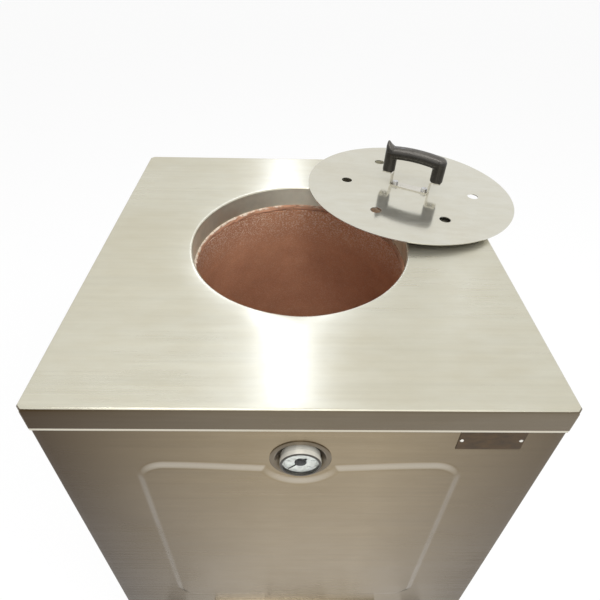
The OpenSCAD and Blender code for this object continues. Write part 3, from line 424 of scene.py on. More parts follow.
def turned_steel(name, color, roughness, axis, centre, anisotropy=0.6):
    """Turned or rolled steel with lines round its axis."""
    s = Shade(name, color, roughness, Metallic=1.0, Anisotropic=anisotropy)
    s.grain_around(axis, centre)
    letter = "Z" if axis[2] else "Y"
    lines = s.noise(s.around(letter, centre, 6, 2500, 2500), detail=2)
    cloud = s.speckle(40, detail=4)
    s.roughen(cloud, roughness - 0.04, roughness + 0.08)
    return s.finish(s.lay(cloud, 0.4, 0.7, 0.6, color, darker(color, 0.78)), s.bump(lines, 0.00002, 0.4))


def case_steel():
    """Brushed thermometer case, near black inside, and near black on its front edge as a painted dark
    reflection.
    """
    bright, black = (0.80, 0.78, 0.70), (0.045, 0.040, 0.032)
    s = Shade("case_steel", bright, 0.3, Metallic=0.45, Anisotropic=0.8)
    s.grain_around(GAUGE_AXIS, tuple(GAUGE))
    x, y, z = s.split(s.from_centre(tuple(GAUGE)))
    radius = s.length(x, z)
    inside = s.fit(radius, CASE_HI.x - 1.3 * MM, CASE_HI.x - 0.7 * MM, 1, 0)
    # painted dark reflection: the case's front edge is made near black
    edge = s.fit(y, CASE_LO.y - GAUGE.y + 0.5 * MM, CASE_LO.y - GAUGE.y + 0.9 * MM, 1, 0)
    inside = s.math("MAXIMUM", inside, edge)
    lines = s.noise(s.around("Y", tuple(GAUGE), 6, 2500, 2500), detail=2)
    cloud = s.speckle(90, detail=4)
    tone = s.lay(cloud, 0.4, 0.7, 0.6, bright, darker(bright, 0.7))
    s.roughen(cloud, 0.28, 0.40)
    return s.finish(s.blend(inside, tone, black), s.bump(lines, 0.00002, 0.4))


def plated_steel(name, color, roughness):
    """Zinc plated steel with faint crystals and dulled edges."""
    s = Shade(name, color, roughness, Metallic=1.0)
    cells = s.node("TexVoronoi", Vector=s.place((CRYSTALS_PER_M,) * 3), Scale=1.0).outputs["Color"]
    crystal = s.node("SeparateColor", Color=cells).outputs[0]
    cloud = s.speckle(60, detail=4)
    tone = s.lay(crystal, 0, 1, 1, darker(color, 0.86), darker(color, 1.1))
    s.roughen(cloud, roughness - 0.06, roughness + 0.14)
    return s.finish(s.lay(cloud, 0.5, 0.75, 0.6, tone, ZINC_DULL), s.bump(cloud, 0.0002, 0.3))


def enamel(name, color, roughness):
    """Sprayed paint with orange peel, dust and bare metal on its edges."""
    s = Shade(name, color, roughness)
    peel = s.speckle(700, detail=2)
    cloud = s.speckle(18, detail=5)
    tone = s.lay(cloud, 0.45, 0.8, 0.5, color, tuple(c * 0.6 + 0.07 for c in color))
    edge = s.times(s.worn_edges(), s.fit(cloud, 0.45, 0.6, 0, 0.8))
    s.roughen(cloud, roughness - 0.05, roughness + 0.15)
    return s.finish(s.blend(edge, tone, BARE_METAL), s.bump(peel, 0.00012, 0.35))


def moulded_plastic(name, color, roughness, gloss=0.4, painted_top_sheen=0.0):
    """Moulded plastic with a fine skin, cloudy hand polish and a painted grey sheen on what faces up."""
    s = Shade(name, color, roughness, Specular_IOR_Level=gloss, Specular_Tint=(1.0, 0.94, 0.86, 1))
    skin = s.speckle(1500)
    cloud = s.speckle(45, detail=5, rough=0.6)
    pale = tuple(c + 0.012 for c in color)
    tone = s.lay(cloud, 0.4, 0.75, 0.8, color, pale)
    # painted sheen: faces that look up are lightened towards grey
    upward = s.times(s.fit(s.facing()[2], 0.30, 0.75, 0, painted_top_sheen), s.fit(cloud, 0.3, 0.6, 0.6, 1))
    s.roughen(cloud, roughness - 0.06, roughness + 0.12)
    return s.finish(s.blend(upward, tone, PAINTED_SHEEN_GREY), s.bump(skin, 0.000012, 0.4))


def fired_clay():
    """Unglazed clay: sandy grain, trowel marks, drier patches, soot at the foot and specks near the rim."""
    light, mid, dark = (0.72, 0.370, 0.215), (0.60, 0.290, 0.168), (0.37, 0.165, 0.095)
    dusty, sooty = (0.80, 0.64, 0.50), (0.035, 0.028, 0.024)
    s = Shade("fired_clay", mid, 0.88, Specular_IOR_Level=0.25)
    marks = s.noise(s.around("Z", MOUTH_AT, 30, 26, 0), detail=6, rough=0.68)
    patch = s.noise(s.around("Z", MOUTH_AT, 5, 4.5, 0), detail=4, distortion=0.6)
    grit = s.speckle(900, detail=4, rough=0.75)
    speck = s.speckle(330, rough=0.7)
    tone = s.lay(patch, 0.35, 0.65, 1, mid, light)
    tone = s.blend(s.fit(marks, 0.3, 0.7, 0.35, 0), tone, dark)
    tone = s.blend(s.fit(grit, 0.38, 0.55, 0.55, 0), tone, dark)
    rim = s.fit(s.height(), POT_HI.z - SPECKLED_H, POT_HI.z - 10 * MM, 0.15, 1)
    dust = s.times(rim, s.fit(speck, 0.52, 0.58, 0, 1))
    tone = s.blend(dust, tone, dusty)
    soot = s.fit(s.height(), POT_LO.z, POT_LO.z + SOOTY_H, 0.85, 0)
    rough = s.bump(grit, 0.0012, 0.8)
    return s.finish(s.blend(soot, tone, sooty), s.bump(marks, 0.0010, 0.5, under=rough))


def pale_mortar():
    """Mortar joint smeared with clay, with a broken pale line left under the collar."""
    pale, clay = (0.66, 0.57, 0.46), (0.42, 0.205, 0.120)
    shaded, sandy = (0.24, 0.13, 0.08), (0.34, 0.24, 0.17)
    s = Shade("pale_mortar", pale, 0.92)
    grit = s.speckle(700, detail=4, rough=0.7)
    smear = s.speckle(55, detail=5, rough=0.75)
    spots = s.speckle(160, detail=4, rough=0.7)
    ragged = s.plus(s.height(), s.fit(smear, 0.3, 0.7, -2.5 * MM, 2.5 * MM))
    left = s.plus(s.fit(s.across(), -0.9 * MOUTH_R, -0.2 * MOUTH_R, 0.28, 0.0), smear)
    line = s.fit(ragged, SEAL_HI.z - 3.2 * MM, SEAL_HI.z - 1.8 * MM, 0, 1)
    tone = s.blend(s.times(line, s.fit(left, 0.48, 0.64, 0, 1)), clay, pale)
    tone = s.lay(spots, 0.52, 0.62, 0.8, tone, shaded)
    return s.finish(s.lay(grit, 0.35, 0.7, 0.4, tone, sandy), s.bump(grit, 0.0008, 0.7))


def rough_stone(name, color, per_m):
    """Cast refractory with pores and soot."""
    s = Shade(name, color, 0.93)
    grain = s.speckle(per_m, detail=6, rough=0.65)
    pores = s.node("TexVoronoi", Vector=s.place((per_m * 2,) * 3)).outputs["Distance"]
    pitted = s.bump(s.fit(pores, 0.0, 0.25, 0, 1), 0.0008, 0.6)
    return s.finish(s.lay(grain, 0.35, 0.7, 1, darker(color, 0.55), darker(color, 1.15)),
                    s.bump(grain, 0.0010, 0.6, under=pitted))


def cast_iron():
    """Black cast skin, rusted in patches."""
    iron, rusty = (0.045, 0.043, 0.042), (0.17, 0.075, 0.035)
    s = Shade("cast_iron", iron, 0.62, Metallic=0.6)
    skin = s.speckle(500, detail=5, rough=0.7)
    rust = s.speckle(50, detail=5)
    s.drive("Roughness", s.fit(rust, 0.4, 0.7, 0.5, 0.85))
    return s.finish(s.lay(rust, 0.5, 0.7, 0.7, iron, rusty), s.bump(skin, 0.0005, 0.6))


def mineral_wool():
    """Yellow wool in flat layers."""
    dull, pale = (0.48, 0.42, 0.26), (0.74, 0.68, 0.50)
    s = Shade("mineral_wool", pale, 1.0, Sheen_Weight=0.3)
    fibre = s.noise(s.place((220, 220, 900)), detail=6, rough=0.7, distortion=1.5)
    return s.finish(s.lay(fibre, 0.3, 0.7, 1, dull, pale), s.bump(fibre, 0.002, 0.8))


def wheel_rubber():
    """Black rubber with grey dust."""
    rubber, dusty = (0.035, 0.035, 0.037), (0.15, 0.14, 0.125)
    s = Shade("wheel_rubber", rubber, 0.72)
    skin = s.speckle(900)
    dust = s.speckle(70, detail=5, rough=0.6)
    s.drive("Roughness", s.fit(dust, 0.4, 0.7, 0.6, 0.9))
    return s.finish(s.lay(dust, 0.45, 0.7, 0.65, rubber, dusty), s.bump(skin, 0.0003, 0.5))


def dial_paint():
    """Matt off-white print ground, a little yellowed and dusty under the glass."""
    clean, yellowed = (0.76, 0.76, 0.72), (0.50, 0.49, 0.44)
    s = Shade("dial_paint", clean, 0.55)
    stain = s.speckle(130, detail=5, rough=0.65)
    grain = s.speckle(1800, detail=2)
    return s.finish(s.lay(stain, 0.42, 0.66, 0.8, clean, yellowed), s.bump(grain, 0.00004, 0.4))


def clear_glass():
    """The thermometer's thin window, with a low index so that it bends and mirrors little."""
    s = Shade("clear_glass", (0.96, 0.98, 0.98), 0.02, Transmission_Weight=1.0, IOR=GLASS_IOR)
    smear = s.noise(s.place((90, 90, 30)), detail=5, rough=0.6)
    s.drive("Roughness", s.fit(smear, 0.5, 0.8, 0.01, 0.09))
    return s.material


def etched_plate():
    """The bare plate's dull etched face, dark brown with cloudy patches."""
    color = (0.100, 0.067, 0.038)
    s = Shade("etched_plate", color, 0.42, Metallic=1.0, Anisotropic=0.5)
    s.grain_along((1, 0, 0))
    lines = s.noise(s.place((40, 1, 2400)), detail=2)
    cloud = s.noise(s.place((60, 60, 90)), detail=5, rough=0.6)
    s.roughen(cloud, 0.34, 0.52)
    return s.finish(s.lay(cloud, 0.35, 0.7, 1, darker(color, 0.62), darker(color, 1.25)),
                    s.bump(lines, 0.00004, 0.5))


TOP_STEEL = (0.605, 0.585, 0.482)
# the flange, front and side sheets are darker, browner copies of the top's steel: a painted dark reflection
FLANGE_STEEL_PAINTED_SHADE = (0.188, 0.156, 0.112)
FRONT_STEEL_PAINTED_SHADE = (0.325, 0.262, 0.172)
SIDE_STEEL_PAINTED_SHADE = (0.365, 0.310, 0.228)
INNER_STEEL = (0.40, 0.37, 0.33)
LID_STEEL = (0.61, 0.595, 0.515)
STRAP_STEEL = (0.68, 0.66, 0.60)
# the hem's lighter copy of the steel is a painted highlight along the rolled edge
HEM_STEEL_PAINTED_HIGHLIGHT = (0.66, 0.62, 0.52)
# the collar's steel is lighter than the top's: a painted reflection of the bright sky above
COLLAR_STEEL_PAINTED_LIGHT = (0.72, 0.70, 0.58)
# the dish's steel is darkened: a painted dark reflection
DISH_STEEL_PAINTED_SHADE = (0.18, 0.148, 0.106)
ZINC = (0.60, 0.60, 0.60)
RIVET_ZINC = (0.80, 0.78, 0.72)
FRAME_BLACK = (0.020, 0.020, 0.022)
HAND_BLACK = (0.004, 0.004, 0.004)
INK = (0.05, 0.05, 0.055)
PHENOLIC = (0.005, 0.0045, 0.0035)
NYLON = (0.24, 0.24, 0.245)
HEARTH_STONE = (0.34, 0.28, 0.23)


def make_materials():
    """Every finish, by its name."""
    across, deep, up = (1, 0, 0), (0, 1, 0), (0, 0, 1)
    made = [
        brushed_sheet("top_sheet", TOP_STEEL, 0.30, across, contrast=0.45, haze=0.1),
        brushed_sheet("flange_sheet", FLANGE_STEEL_PAINTED_SHADE, 0.24, across, 0.6, painted_side_shade=(1.0, 0.05)),
        brushed_sheet("front_sheet", FRONT_STEEL_PAINTED_SHADE, 0.24, across, 0.7, painted_side_shade=(1.0, 0.8), painted_lean_highlight=0.50),
        brushed_sheet("side_sheet", SIDE_STEEL_PAINTED_SHADE, 0.27, deep, contrast=0.7),
        brushed_sheet("inner_sheet", INNER_STEEL, 0.38, across),
        brushed_sheet("lid_sheet", LID_STEEL, 0.12, (0.94, -0.34, 0), 0.0, contrast=0.25, haze=0.18),
        brushed_sheet("strap_sheet", STRAP_STEEL, 0.22, (0.9, -0.44, 0)),
        brushed_sheet("hem_sheet", HEM_STEEL_PAINTED_HIGHLIGHT, 0.30, across, 0.3),
        turned_steel("collar_sheet", COLLAR_STEEL_PAINTED_LIGHT, 0.46, up, MOUTH_AT, 0.85),
        case_steel(),
        turned_steel("dish_steel", DISH_STEEL_PAINTED_SHADE, 0.20, GAUGE_AXIS, tuple(GAUGE)),
        plated_steel("plated_steel", ZINC, 0.30),
        plated_steel("bright_rivet", RIVET_ZINC, 0.16),
        enamel("frame_enamel", FRAME_BLACK, 0.42),
        moulded_plastic("hand_enamel", HAND_BLACK, 0.14, 0.2),
        enamel("dial_ink", INK, 0.5),
        moulded_plastic("phenolic", PHENOLIC, 0.16, 0.5, painted_top_sheen=0.8),
        moulded_plastic("nylon", NYLON, 0.5),
        fired_clay(),
        pale_mortar(),
        rough_stone("hearth_stone", HEARTH_STONE, 90),
        cast_iron(),
        mineral_wool(),
        wheel_rubber(),
        dial_paint(),
        clear_glass(),
        etched_plate(),
    ]
    # Blender adds a suffix such as .001 to a name that the CAD's own materials have
    return {material.name.split(".")[0]: material for material in made}


# what each CAD node is finished in
FINISH = {
    "top_sheet": ["top_cover"],
    "front_sheet": ["front_panel", "drawer_front", "rear_panel"],
    "side_sheet": ["left_panel", "right_panel"],
    "inner_sheet": ["ash_tunnel", "ash_tray", "base_pan", "damper_guides", "damper_slide"],
    "lid_sheet": ["lid_plate"],
    "strap_sheet": ["handle_bracket"],
    "collar_sheet": ["mouth_collar"],
    "case_steel": ["gauge_case"],
    "dish_steel": ["gauge_flange"],
    "plated_steel": ["panel_rivets", "caster_plates", "caster_bolts", "handle_bolts", "handle_nuts",
                     "grip_screws", "drawer_runners", "drawer_pull", "gauge_nuts", "gauge_stem"],
    "bright_rivet": ["nameplate_rivets"],
    "frame_enamel": ["base_frame", "corner_posts", "slab_bearers"],
    "hand_enamel": ["gauge_pointer"],
    "phenolic": ["handle_grip", "damper_knob"],
    "fired_clay": ["clay_pot"],
    "pale_mortar": ["collar_seal"],
    "hearth_stone": ["hearth_slab"],
    "cast_iron": ["charcoal_grate"],
    "mineral_wool": ["insulation_fill"],
    "dial_paint": ["gauge_dial"],
    "clear_glass": ["gauge_glass"],
    "etched_plate": ["nameplate"],
}
CASTER_FINISH = {"plated_steel": ["caster_fork", "axle_bolt"], "nylon": ["wheel_core"],
                 "wheel_rubber": ["tyre"], "frame_enamel": ["brake_pedal"]}
CORNERS = ("fl", "fr", "rl", "rr")


def finish_nodes(materials):
    """Gives every CAD node its material."""
    wanted = {n: m for m, names in FINISH.items() for n in names}
    for m, stems in CASTER_FINISH.items():
        wanted.update({f"{stem}_{c}": m for stem in stems for c in CORNERS})
    for name, node in frame["nodes"].items():
        node.data.materials.clear()
        node.data.materials.append(materials[wanted[name]])


# ---- mesh building blocks ----

def declare(piece, body, stands_for=None):
    """Puts a piece on the body that it rides on, and hides the CAD node that it stands for."""
    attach(piece, body)
    if stands_for:
        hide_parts(stands_for)


def mesh_piece(name, verts, faces, material, stands_for, sharp=35):
    """A smooth-shaded piece of the cabinet."""
    mesh = bpy.data.meshes.new(name)
    mesh.from_pydata([tuple(v) for v in verts], [], faces)
    mesh.update()
    mesh.materials.append(material)
    piece = add_object(name, mesh)
    shade_smooth(piece, sharp)
    declare(piece, "cabinet", stands_for)
    return piece


def shade_smooth(piece, sharp):
    mesh = piece.data
    mesh.polygons.foreach_set("use_smooth", [True] * len(mesh.polygons))
    mesh.set_sharp_from_angle(angle=radians(sharp))


def grid_faces(rows, columns, closed_rows=False, closed_columns=False):
    """Quads over a rows x columns block of vertices."""
    faces = []
    for i in range(rows if closed_rows else rows - 1):
        for j in range(columns if closed_columns else columns - 1):
            i1, j1 = (i + 1) % rows, (j + 1) % columns
            faces.append((i * columns + j, i * columns + j1, i1 * columns + j1, i1 * columns + j))
    return faces


def finished_mesh(work, name):
    """Turns mesh work into a mesh."""
    mesh = bpy.data.meshes.new(name)
    work.to_mesh(mesh)
    work.free()
    return mesh


def evaluated_mesh(piece):
    """A mesh of what the piece's curve or modifiers make."""
    bpy.context.view_layer.update()
    return bpy.data.meshes.new_from_object(piece.evaluated_get(bpy.context.evaluated_depsgraph_get()))


def apply_modifiers(piece):
    """Turns the piece's modifiers into its mesh."""
    made = evaluated_mesh(piece)
    piece.modifiers.clear()
    piece.data = made


def lathe(profile, steps, wobble=None):
    """Vertices and faces of a closed profile of (radius, z), turned about the mouth's axis."""
    verts = []
    for r, z in profile:
        for k in range(steps):
            a = tau * k / steps
            grow = wobble(a, r, z) if wobble else 0.0
            verts.append(((r + grow) * cos(a), MOUTH_Y + (r + grow) * sin(a), z))
    return verts, grid_faces(len(profile), steps, closed_rows=True, closed_columns=True)


def turned_noise(angle, z, fine, shift=0.0):
    """Seamless noise on a turned wall, with its fineness round the turn and up the wall."""
    around, up = fine
    return noise.noise(Vector((cos(angle) * around + shift, sin(angle) * around, z * up)))


def smooth_step(t):
    t = min(max(t, 0.0), 1.0)
    return t * t * (3 - 2 * t)


# ---- top cover ----

FOLD_R = 2.6 * MM
COVER_SHEET = 1.5 * MM
RIM_ROUND = 1.6 * MM
RIM_DISH = 3.0 * MM
RIM_DISH_WIDTH = 40 * MM
# the rim's dish: least share of it at the back, how far it reaches round, how uneven it is, and its turn
DISH_BACK, DISH_REACH, DISH_UNEVEN, DISH_LUMPS = 0.12, 0.9, 1.2, 1.6
DISH_TURN = radians(25)
COVER_STEPS = 384
HEM_STEPS = 16
RIM_STEPS = 5
FOLD_STEPS = 6
# steps of the fold that keep the top's finish, before the flange's darker copy, a painted dark reflection,
# begins
FOLD_BRIGHT_STEPS = 2
# where the mesh has its rings: shares of the way from the mouth to the fold, and down the flange
FLAT_RINGS = (0.015, 0.03, 0.05, 0.075, 0.105, 0.14, 0.2, 0.28, 0.37, 0.47, 0.58, 0.7, 0.82, 0.92,
              0.97, 1.0)
FLANGE_RINGS = (0.3, 0.6, 0.9, 1.0)
EDGE_FLAT_W = 30 * MM
WAVES_PER_M = 4.0
# the sheet's waves: their size, the level that they sink from, and the share that sinks
WAVE_MM, WAVE_FROM_MM, WAVE_SINK = 0.5, 0.1, 0.6
LAP_W = 11 * MM
LAP_PROUD = 0.6 * MM
LAP_GAP_TOP, LAP_GAP_LOW = 1 * MM, 0.5 * MM
LAP_EDGE = 0.25 * MM
TOP_FINISH, FLANGE_FINISH, HEM_FINISH = range(3)
COLLAR_LAP = 0.2 * MM
# heights of the collar's rings over its foot, in mm
COLLAR_RINGS = (12, 24)


def square_point(angle):
    """Where a ray at an angle leaves the square from -1 to 1."""
    c, s = cos(angle), sin(angle)
    reach = max(abs(c), abs(s))
    return Vector((c / reach, s / reach))


def square_ring(squares, half, z):
    return [(q.x * half, q.y * half, z) for q in squares]


def cover_height(x, y):
    """Top surface: nearly flat, with the slight waves of thin sheet, dished along the mouth's front."""
    r, a = hypot(x, y - MOUTH_Y), atan2(y - MOUTH_Y, x)
    around = Vector((DISH_LUMPS * cos(a), DISH_LUMPS * sin(a), 5.0))
    uneven = 1 + DISH_UNEVEN * noise.noise(around)
    front = DISH_BACK + (1 - DISH_BACK) * smooth_step(0.5 - DISH_REACH * sin(a + DISH_TURN))
    dish = RIM_DISH * front * uneven * max(1 - (r - MOUTH_R) / RIM_DISH_WIDTH, 0) ** 2
    inset = 1 - smooth_step((max(abs(x), abs(y)) - COVER_HALF + EDGE_FLAT_W) / EDGE_FLAT_W)
    waves = noise.noise(Vector((x * WAVES_PER_M, y * WAVES_PER_M, 2.0))) * WAVE_MM * MM * inset
    return TOP_Z - dish - max(waves + WAVE_FROM_MM * MM, 0) * WAVE_SINK


def make_top_cover(top, flange, hem):
    """Folded cover sheet with its round hole, drawn as rings from the mouth out to the flange."""
    angles = [tau * (k + 0.5) / COVER_STEPS for k in range(COVER_STEPS)]
    squares = [square_point(a) for a in angles]
    edge = COVER_HALF - FOLD_R
    rings = []
    for step in range(RIM_STEPS + 1):
        tilt = radians(90 / RIM_STEPS * step)
        r = MOUTH_R + RIM_ROUND * (1 - cos(tilt))
        ring = []
        for a in angles:
            x, y = r * cos(a), MOUTH_Y + r * sin(a)
            ring.append((x, y, cover_height(x, y) - RIM_ROUND * (1 - sin(tilt))))
        rings.append(ring)
    inner_r = MOUTH_R + RIM_ROUND
    for share in FLAT_RINGS:
        ring = []
        for a, q in zip(angles, squares):
            inner = Vector((inner_r * cos(a), MOUTH_Y + inner_r * sin(a)))
            p = inner.lerp(q * edge, share)
            ring.append((p.x, p.y, cover_height(p.x, p.y)))
        rings.append(ring)
    flat_rings = len(rings)
    for step in range(1, FOLD_STEPS + 1):
        bend = radians(90 / FOLD_STEPS * step)
        half = edge + FOLD_R * sin(bend)
        rings.append(square_ring(squares, half, TOP_Z - FOLD_R * (1 - cos(bend))))
    for drop in FLANGE_RINGS:
        z = TOP_Z - FOLD_R + (HEM_Z - TOP_Z + FOLD_R) * drop
        rings.append(square_ring(squares, COVER_HALF, z))
    verts = [v for ring in rings for v in ring]
    faces = grid_faces(len(rings), COVER_STEPS, closed_columns=True)
    cover = mesh_piece("cover_skin", verts, faces, top, "top_cover")
    cover.data.materials.append(flange)
    cover.data.materials.append(hem)
    for face in cover.data.polygons:
        ring = face.index // COVER_STEPS
        # past the fold's first steps the flange takes its darker copy of the steel, a painted dark
        # reflection
        face.material_index = FLANGE_FINISH if ring >= flat_rings + FOLD_BRIGHT_STEPS else TOP_FINISH
        # the hem's faces take the lighter copy of the steel, a painted highlight
        if ring == len(rings) - 2:
            face.material_index = HEM_FINISH
    solid = cover.modifiers.new("sheet", "SOLIDIFY")
    solid.thickness = COVER_SHEET
    solid.offset = -1
    solid.use_even_offset = True
    apply_modifiers(cover)
    add_hem_and_laps(cover, squares)
    shade_smooth(cover, sharp=40)


def add_hem_and_laps(cover, squares):
    """Rolled hem round the flange's lower edge, and the laps that close its front corners."""
    work = bmesh.new()
    work.from_mesh(cover.data)
    middle = COVER_HALF + HEM_OUT - HEM_R
    tube = []
    for step in range(HEM_STEPS):
        a = tau * step / HEM_STEPS
        half, z = middle + HEM_R * cos(a), HEM_Z + HEM_R * sin(a)
        tube += [work.verts.new(p) for p in square_ring(squares, half, z)]
    for quad in grid_faces(HEM_STEPS, len(squares), closed_rows=True, closed_columns=True):
        work.faces.new([tube[n] for n in quad]).material_index = HEM_FINISH
    top, bottom = TOP_Z - FOLD_R - LAP_GAP_TOP, HEM_Z + HEM_R + LAP_GAP_LOW
    for side in (-1, 1):
        at = Vector((side * (COVER_HALF - FOLD_R - LAP_W / 2), -COVER_HALF, (top + bottom) / 2))
        size = Matrix.Diagonal((LAP_W, 2 * LAP_PROUD, top - bottom, 1))
        lap = bmesh.ops.create_cube(work, size=1, matrix=Matrix.Translation(at) @ size)["verts"]
        edges = list({e for v in lap for e in v.link_edges})
        for face in {f for v in lap for f in v.link_faces}:
            face.material_index = FLANGE_FINISH
        bmesh.ops.bevel(work, geom=edges, offset=LAP_EDGE, segments=2, affect="EDGES")
    work.to_mesh(cover.data)
    work.free()


def make_collar(material):
    """The collar that lines the mouth, up to the cover's drawn-in rim."""
    lap = RIM_ROUND - COLLAR_LAP
    outer, foot, floor = MOUTH_R + PANEL_SHEET, COLLAR_HI.x, COLLAR_LO.z
    profile = [(MOUTH_R, floor)] + [(MOUTH_R, floor + z * MM) for z in COLLAR_RINGS] + [(MOUTH_R, TOP_Z)]
    profile += [(outer, TOP_Z), (outer, floor + PANEL_SHEET), (foot, floor + PANEL_SHEET), (foot, floor)]
    verts, faces = lathe(profile, COVER_STEPS)
    verts = [(x, y, cover_height(x, y) - lap if z == TOP_Z else z) for x, y, z in verts]
    mesh_piece("collar", verts, faces, material, "mouth_collar")


# ---- pot and mortar ----

POT_WALL = 30 * MM
POT_STEPS = 300
POT_ROWS = 90
BELLY_H = 200 * MM
POT_RIM_R = 206.7 * MM
TROWEL_MM, THUMB_MM = 0.7, 1.3
TROWEL_FINE, THUMB_FINE, THUMB_SHIFT = (16, 9), (2.2, 5), 7
BEAD_BULGE = 3 * MM
BEAD_TURNS = 14
BEAD_STEPS = 720
BEAD_LAP = 1 * MM
LUMP_MM, GRAIN_MM, PROUD_MM = 1.6, 0.7, 0.6
LUMP_FINE, GRAIN_FINE = (11, 260), (60, 900)


def make_pot(material):
    """The clay pot with trowel marks and thumb waves on its inside."""
    belly_r = POT_HI.x
    belly_z = POT_LO.z + BELLY_H
    rise = POT_HI.z - belly_z
    drop = belly_r - POT_RIM_R
    curve_r = (rise * rise + drop * drop) / (2 * drop)

    def radius(z, inset):
        return belly_r - curve_r + sqrt((curve_r - inset) ** 2 - (z - belly_z) ** 2)

    levels = [POT_LO.z + (POT_HI.z - POT_LO.z) * i / POT_ROWS for i in range(POT_ROWS + 1)]
    inner = [(radius(z, POT_WALL), z) for z in reversed(levels)]
    outer = [(radius(z, 0), z) for z in levels]

    def wobble(a, r, z):
        """Marks on the inside only."""
        if r > radius(z, POT_WALL) + 1 * MM:
            return 0.0
        marks = turned_noise(a, z, TROWEL_FINE)
        waves = turned_noise(a, z, THUMB_FINE, THUMB_SHIFT)
        return (TROWEL_MM * marks + THUMB_MM * waves) * MM

    verts, faces = lathe(inner + outer, POT_STEPS, wobble)
    mesh_piece("pot_wall", verts, faces, material, "clay_pot")


def make_mortar(material):
    """Hand-trowelled bead between the collar and the pot."""
    lo, hi = SEAL_LO.z, SEAL_HI.z
    mid, half = (lo + hi) / 2, (hi - lo) / 2
    bead_r = MOUTH_R - BEAD_LAP
    turns = [pi * i / BEAD_TURNS for i in range(BEAD_TURNS + 1)]
    profile = [(bead_r - BEAD_BULGE * sin(a), mid + half * cos(a)) for a in turns]
    profile += [(SEAL_HI.x, lo), (SEAL_HI.x, hi)]

    def wobble(a, r, z):
        """Lumps on the side that shows."""
        if r > bead_r:
            return 0.0
        lumps = turned_noise(a, z, LUMP_FINE)
        grains = turned_noise(a, z, GRAIN_FINE)
        return (LUMP_MM * lumps + GRAIN_MM * grains + PROUD_MM) * MM

    verts, faces = lathe(profile, BEAD_STEPS, wobble)
    mesh_piece("mortar_bead", verts, faces, material, "collar_seal", sharp=60)


# ---- front panel ----

FIELD_HALF_W = 212 * MM
FIELD_TOP_Z = TOP_Z - 109 * MM
FIELD_BOTTOM_Z = 300 * MM
FIELD_CORNER_R = 40 * MM
FIELD_RISE = 4.1 * MM
FIELD_SLOPE = 13 * MM
FIELD_SAG = 9 * MM
FIELD_SAG_W = 170 * MM
RELIEF_R = 44 * MM
CORNER_R = 2.6 * MM
CORNER_STEPS = 6
DISH_HOLE_R = 34 * MM
HOLE_STEPS = 96
CUT_DEPTH = 40 * MM
DRAWER_GAP, DRAWER_GAP_LOW = 3 * MM, 2 * MM
DRAWER_CUT_FRONT, DRAWER_CUT_BACK = 30 * MM, 10 * MM
# mesh steps on flat sheet, and on the field's side, top and bottom slopes
COARSE_ACROSS, COARSE_UP = 9 * MM, 10 * MM
FINE_SIDE, FINE_TOP, FINE_BOTTOM = 1.1 * MM, 1.3 * MM, 1.6 * MM
FINE_MARGIN = 2 * MM
ON_FACE = 1e-7


def field_height(x, z):
    """How far the front panel's raised field stands out at a point."""
    top_z = FIELD_TOP_Z - FIELD_SAG * smooth_step(1 - abs(x) / FIELD_SAG_W)
    mid_z = (top_z + FIELD_BOTTOM_Z) / 2
    half_h = (top_z - FIELD_BOTTOM_Z) / 2
    qx = abs(x) - FIELD_HALF_W + FIELD_CORNER_R
    qz = abs(z - mid_z) - half_h + FIELD_CORNER_R
    outside = hypot(max(qx, 0), max(qz, 0)) + min(max(qx, qz), 0) - FIELD_CORNER_R
    from_gauge = RELIEF_R - hypot(x, z - GAUGE_Z)
    depth = -max(outside, from_gauge)
    return FIELD_RISE * smooth_step(depth / FIELD_SLOPE)


def fine_lines(low, high, coarse, dense):
    """Rising values from low to high: coarse steps, and fine ones inside the dense stretches."""
    values = [low]
    while values[-1] < high:
        step = coarse
        for a, b, fine in dense:
            if a - coarse <= values[-1] <= b:
                step = min(step, fine)
        values.append(min(values[-1] + step, high))
    return values


